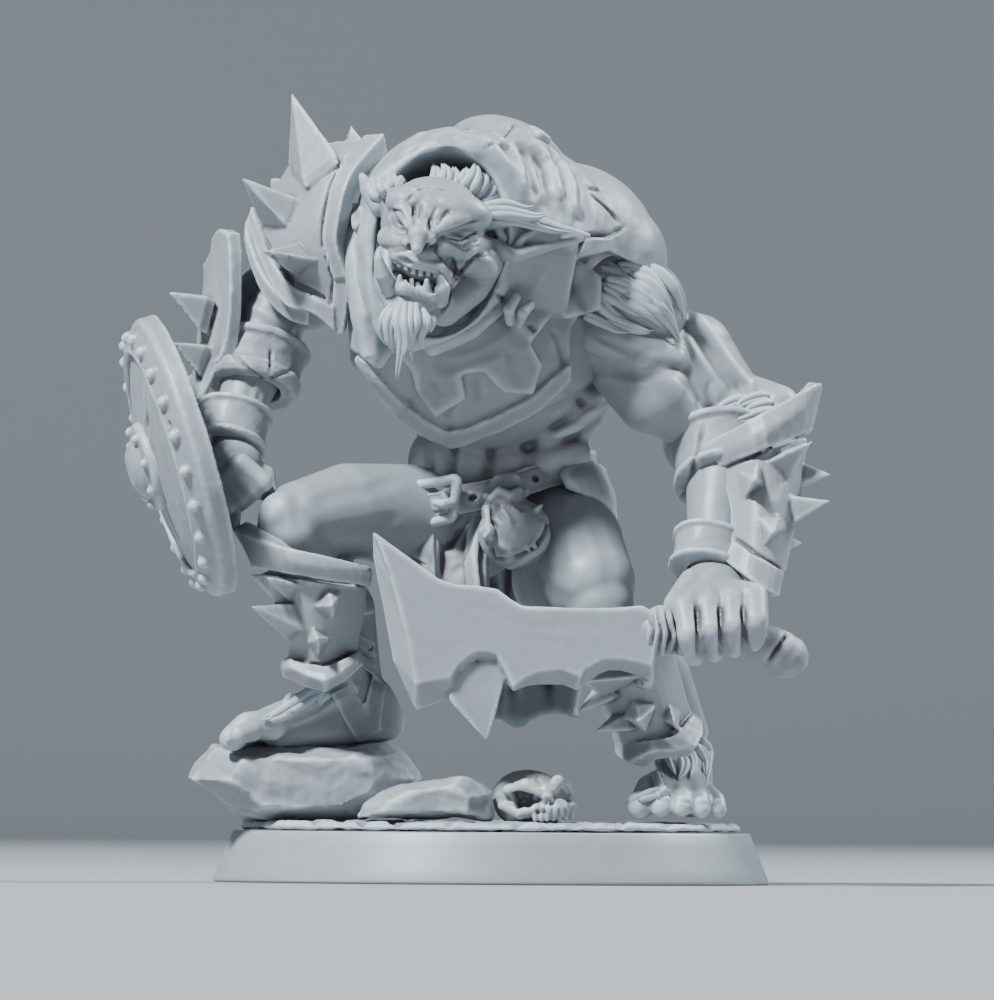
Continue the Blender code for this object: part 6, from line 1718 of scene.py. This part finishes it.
def rock(name, node, outline, y_near, y_far, lean, seed):
    """A rock with this outline in X and Z, split into slanting faces, and weathered."""
    form = bmesh.new()
    centre_x = sum(x for x, _ in outline) / len(outline)
    centre_z = sum(z for _, z in outline) / len(outline)
    depths = [(y_near, 0.62, -0.25), (y_near + lean, 0.94, -0.1), (y_near * 0.5 + y_far * 0.5, 1.0, 0),
        (y_far, 0.7, 0)]
    rings = []
    for y, share, drop in depths:
        rings.append([
            form.verts.new((centre_x + (x - centre_x) * share, y,
            centre_z + (z - centre_z) * share + drop))
            for x, z in outline
        ])
    form.faces.new(rings[0])
    form.faces.new(list(reversed(rings[-1])))
    for near, far in zip(rings, rings[1:]):
        for k in range(len(near)):
            form.faces.new([near[k], near[k - 1], far[k - 1], far[k]])
    bmesh.ops.triangulate(form, faces=form.faces[:])
    bmesh.ops.recalc_face_normals(form, faces=form.faces)
    piece = melted(name, form, 0.16 / FINE, softness=3)
    places, normals = read_skin(piece)
    chips = np.array([
        noise.voronoi(Vector((p[0] / 5.4, p[1] / 4.6,
        (p[2] + p[0] * 0.3) / 2.6 + seed)))[0][0] for p in places.tolist()
    ], dtype=np.float32)
    places += normals * ((0.45 - chips) * 0.55)[:, None]
    slope = places[:, 2] + places[:, 0] * 0.3 + places[:, 1] * 0.1
    strata = np.abs((slope * 0.4) % 1 - 0.5) * 0.1
    places += normals * strata[:, None]
    piece.data.vertices.foreach_set("co", places.ravel())
    piece.data.update()
    rough(piece, 2.6, 0.12, seed=seed)
    rough(piece, 0.7, 0.05, seed=seed + 1)
    cast(piece, node, slot="stone_resin", finish=stone_finish)
    return piece


rock("big_rock_resin", "big_rock", [
    (-21.9, 3), (-21, 4.2), (-20.1, 5.5), (-17.3, 5.6), (-13.7, 5.3), (-10.5, 5.5), (-7.3, 5.7),
    (-6.2, 5.2), (-5, 3.1),
    (-5.8, 1.6), (-9.1, 0), (-13.7, -0.1), (-17.8, 0.1), (-19.5, 1.5),
], -9.6, 4.6, 2.6, seed=81)
rock("small_rock_resin", "small_rock", [
    (-9.7, 0.2), (-9.2, 1.2), (-8, 1.9), (-6.4, 2.7), (-4.1, 3), (-1.8, 3.3), (-0.6, 2.7), (0.2, 2.1),
    (-0.1, 0.3),
], -13.9, -8.0, 1.6, seed=85)


# ------------------------------------------------------------------ ground skull
# A broken skull half sunk in the paving, without its lower jaw: brow, sockets, nose hole and upper teeth.

form = bmesh.new()
blob(form, (2.7, -9.6, 1.6), (2.7, 2.6, 2.15), turn=(0, 8, 0), rings=32)
sinew(form, [(1.2, -11.8, 2.3), (2.4, -12.4, 2.6), (3.7, -12.8, 2.1)], [0.42, 0.5, 0.42])
sinew(form, [(4.1, -12.8, 2.2), (4.7, -12.2, 2.9), (5.5, -11.2, 2.3)], [0.42, 0.5, 0.4])
sinew(form, [(3.8, -12.7, 2.3), (4, -13.1, 1.7)], [0.5, 0.4])
sinew(form, [(0.9, -11.2, 1.2), (2.1, -12.2, 0.7), (3.1, -12.7, 1)], [0.45, 0.5, 0.5])
sinew(form, [(5.4, -11.4, 1.9), (5.7, -11.4, 1.2), (5.1, -12.2, 1)], [0.4, 0.4, 0.45])
blob(form, (4.3, -12.2, 1), (1.3, 1.1, 0.9))
for k in range(7):
    tooth_place = Vector((3.1, -12.9, 0.4)).lerp(Vector((5.7, -12, 0.5)), k / 6)
    tooth_place.y -= 0.35 * math.sin(math.pi * k / 6)
    blob(form, tooth_place, (0.2, 0.26, 0.42), rings=12)
skull = melted("skull_bone", form, 0.1 / FINE, softness=2)
front_strokes(skull, [[(1.5, 1.6), (2.1, 1.8), (3, 1.6)], [(1.7, 1.4), (2.4, 1.4), (3, 1.4)]], 0.75, 0.8)
front_strokes(skull, [[(5.1, 2.3), (5.2, 1.7)], [(5.3, 2.5), (5.4, 1.9)]], 0.55, 0.7)
front_strokes(skull, [[(4, 1.7), (3.7, 1.3)], [(4.1, 1.7), (4.4, 1.3)]], 0.3, 0.6)
front_strokes(skull, [
    [(3.2, 0.9), (3.4, 0.6)], [(3.7, 1), (3.8, 0.6)], [(4.3, 1), (4.3, 0.5)], [(4.8, 1), (4.8, 0.5)],
    [(5.2, 1), (5.3, 0.6)],
], 0.16, 0.2)
front_strokes(skull, [[(1.4, 2.7), (2.1, 3.3), (3.1, 3.2), (3.8, 2.6)],
    [(3.4, 3.7), (3.2, 3), (3.7, 2.5)]], 0.16, 0.12)
rough(skull, 0.7, 0.03, seed=75)
cast(skull, "ground_skull", slot="bone_resin", finish=bone_finish)


# ------------------------------------------------------------------ floor, light and camera
# A plain pale floor with soft studio light: a cool key, a low rosy fill and a rim light, and a long lens.

FLOOR = 3.2
SWEEP_START, SWEEP_RADIUS, SWEEP_TOP = 1.1, 0.4, 1.8
profile = [(-FLOOR / 2, 0.0)]
for k in range(25):
    angle = math.radians(90 * k / 24)
    profile.append((SWEEP_START + SWEEP_RADIUS * math.sin(angle), SWEEP_RADIUS * (1 - math.cos(angle))))
profile.append((SWEEP_START + SWEEP_RADIUS, SWEEP_TOP))
form = bmesh.new()
verts = [form.verts.new((-FLOOR / 2, y, z)) for y, z in profile]
edges = [form.edges.new(pair) for pair in zip(verts, verts[1:])]
swept = bmesh.ops.extrude_edge_only(form, edges=edges)["geom"]
bmesh.ops.translate(form, vec=(FLOOR, 0, 0),
    verts=[v for v in swept if isinstance(v, bmesh.types.BMVert)])
bmesh.ops.recalc_face_normals(form, faces=form.faces)
for face in form.faces:
    face.smooth = True
mesh = bpy.data.meshes.new("studio_floor")
form.to_mesh(mesh)
form.free()
studio_floor = bpy.data.objects.new("studio_floor", mesh)
bpy.context.scene.collection.objects.link(studio_floor)
floor_finish = bpy.data.materials.new("pale_floor")
floor_finish.use_nodes = True
floor_shader = floor_finish.node_tree.nodes["Principled BSDF"]
floor_shader.inputs["Base Color"].default_value = (0.30, 0.31, 0.33, 1)
floor_shader.inputs["Roughness"].default_value = 0.9
mesh.materials.append(floor_finish)

world = bpy.data.worlds.new("studio")
bpy.context.scene.world = world
world.use_nodes = True
world.node_tree.nodes["Background"].inputs["Color"].default_value = (0.55, 0.58, 0.64, 1)
world.node_tree.nodes["Background"].inputs["Strength"].default_value = 0.02


def soft_light(name, place, size, power, colour):
    """A square softbox that faces the ogre's chest."""
    lamp = bpy.data.lights.new(name, "AREA")
    lamp.size = size
    lamp.energy = power
    lamp.color = colour
    light = bpy.data.objects.new(name, lamp)
    bpy.context.scene.collection.objects.link(light)
    light.location = place
    light.rotation_euler = (Vector((0, 0, 0.03)) - Vector(place)).to_track_quat("-Z", "Y").to_euler()


soft_light("key_light", (-0.56, -0.56, 0.98), 0.16, 36, (0.90, 0.97, 1.0))
soft_light("fill_light", (1.04, -0.80, 0.48), 0.48, 0.5, (1.0, 0.86, 0.88))
soft_light("rim_light", (0.64, 0.30, 0.64), 0.28, 11, (0.84, 0.95, 1.0))
soft_light("low_fill", (0.16, -0.90, 0.15), 0.24, 0.25, (1.0, 0.66, 0.76))

LENS = 400
SENSOR = 36
VIEW_WIDTH = 0.0714
camera_data = bpy.data.cameras.new("camera")
camera_data.lens = LENS
camera_data.sensor_width = SENSOR
camera = bpy.data.objects.new("camera", camera_data)
bpy.context.scene.collection.objects.link(camera)
middle = Vector((0.0004, -0.007, 0.0274))
distance = VIEW_WIDTH * LENS / SENSOR
elevation = math.radians(-1.6)
camera.location = middle + distance * Vector((0, -math.cos(elevation), math.sin(elevation)))
camera.rotation_euler = (math.radians(90) - elevation, math.radians(-0.4), 0)
bpy.context.scene.camera = camera
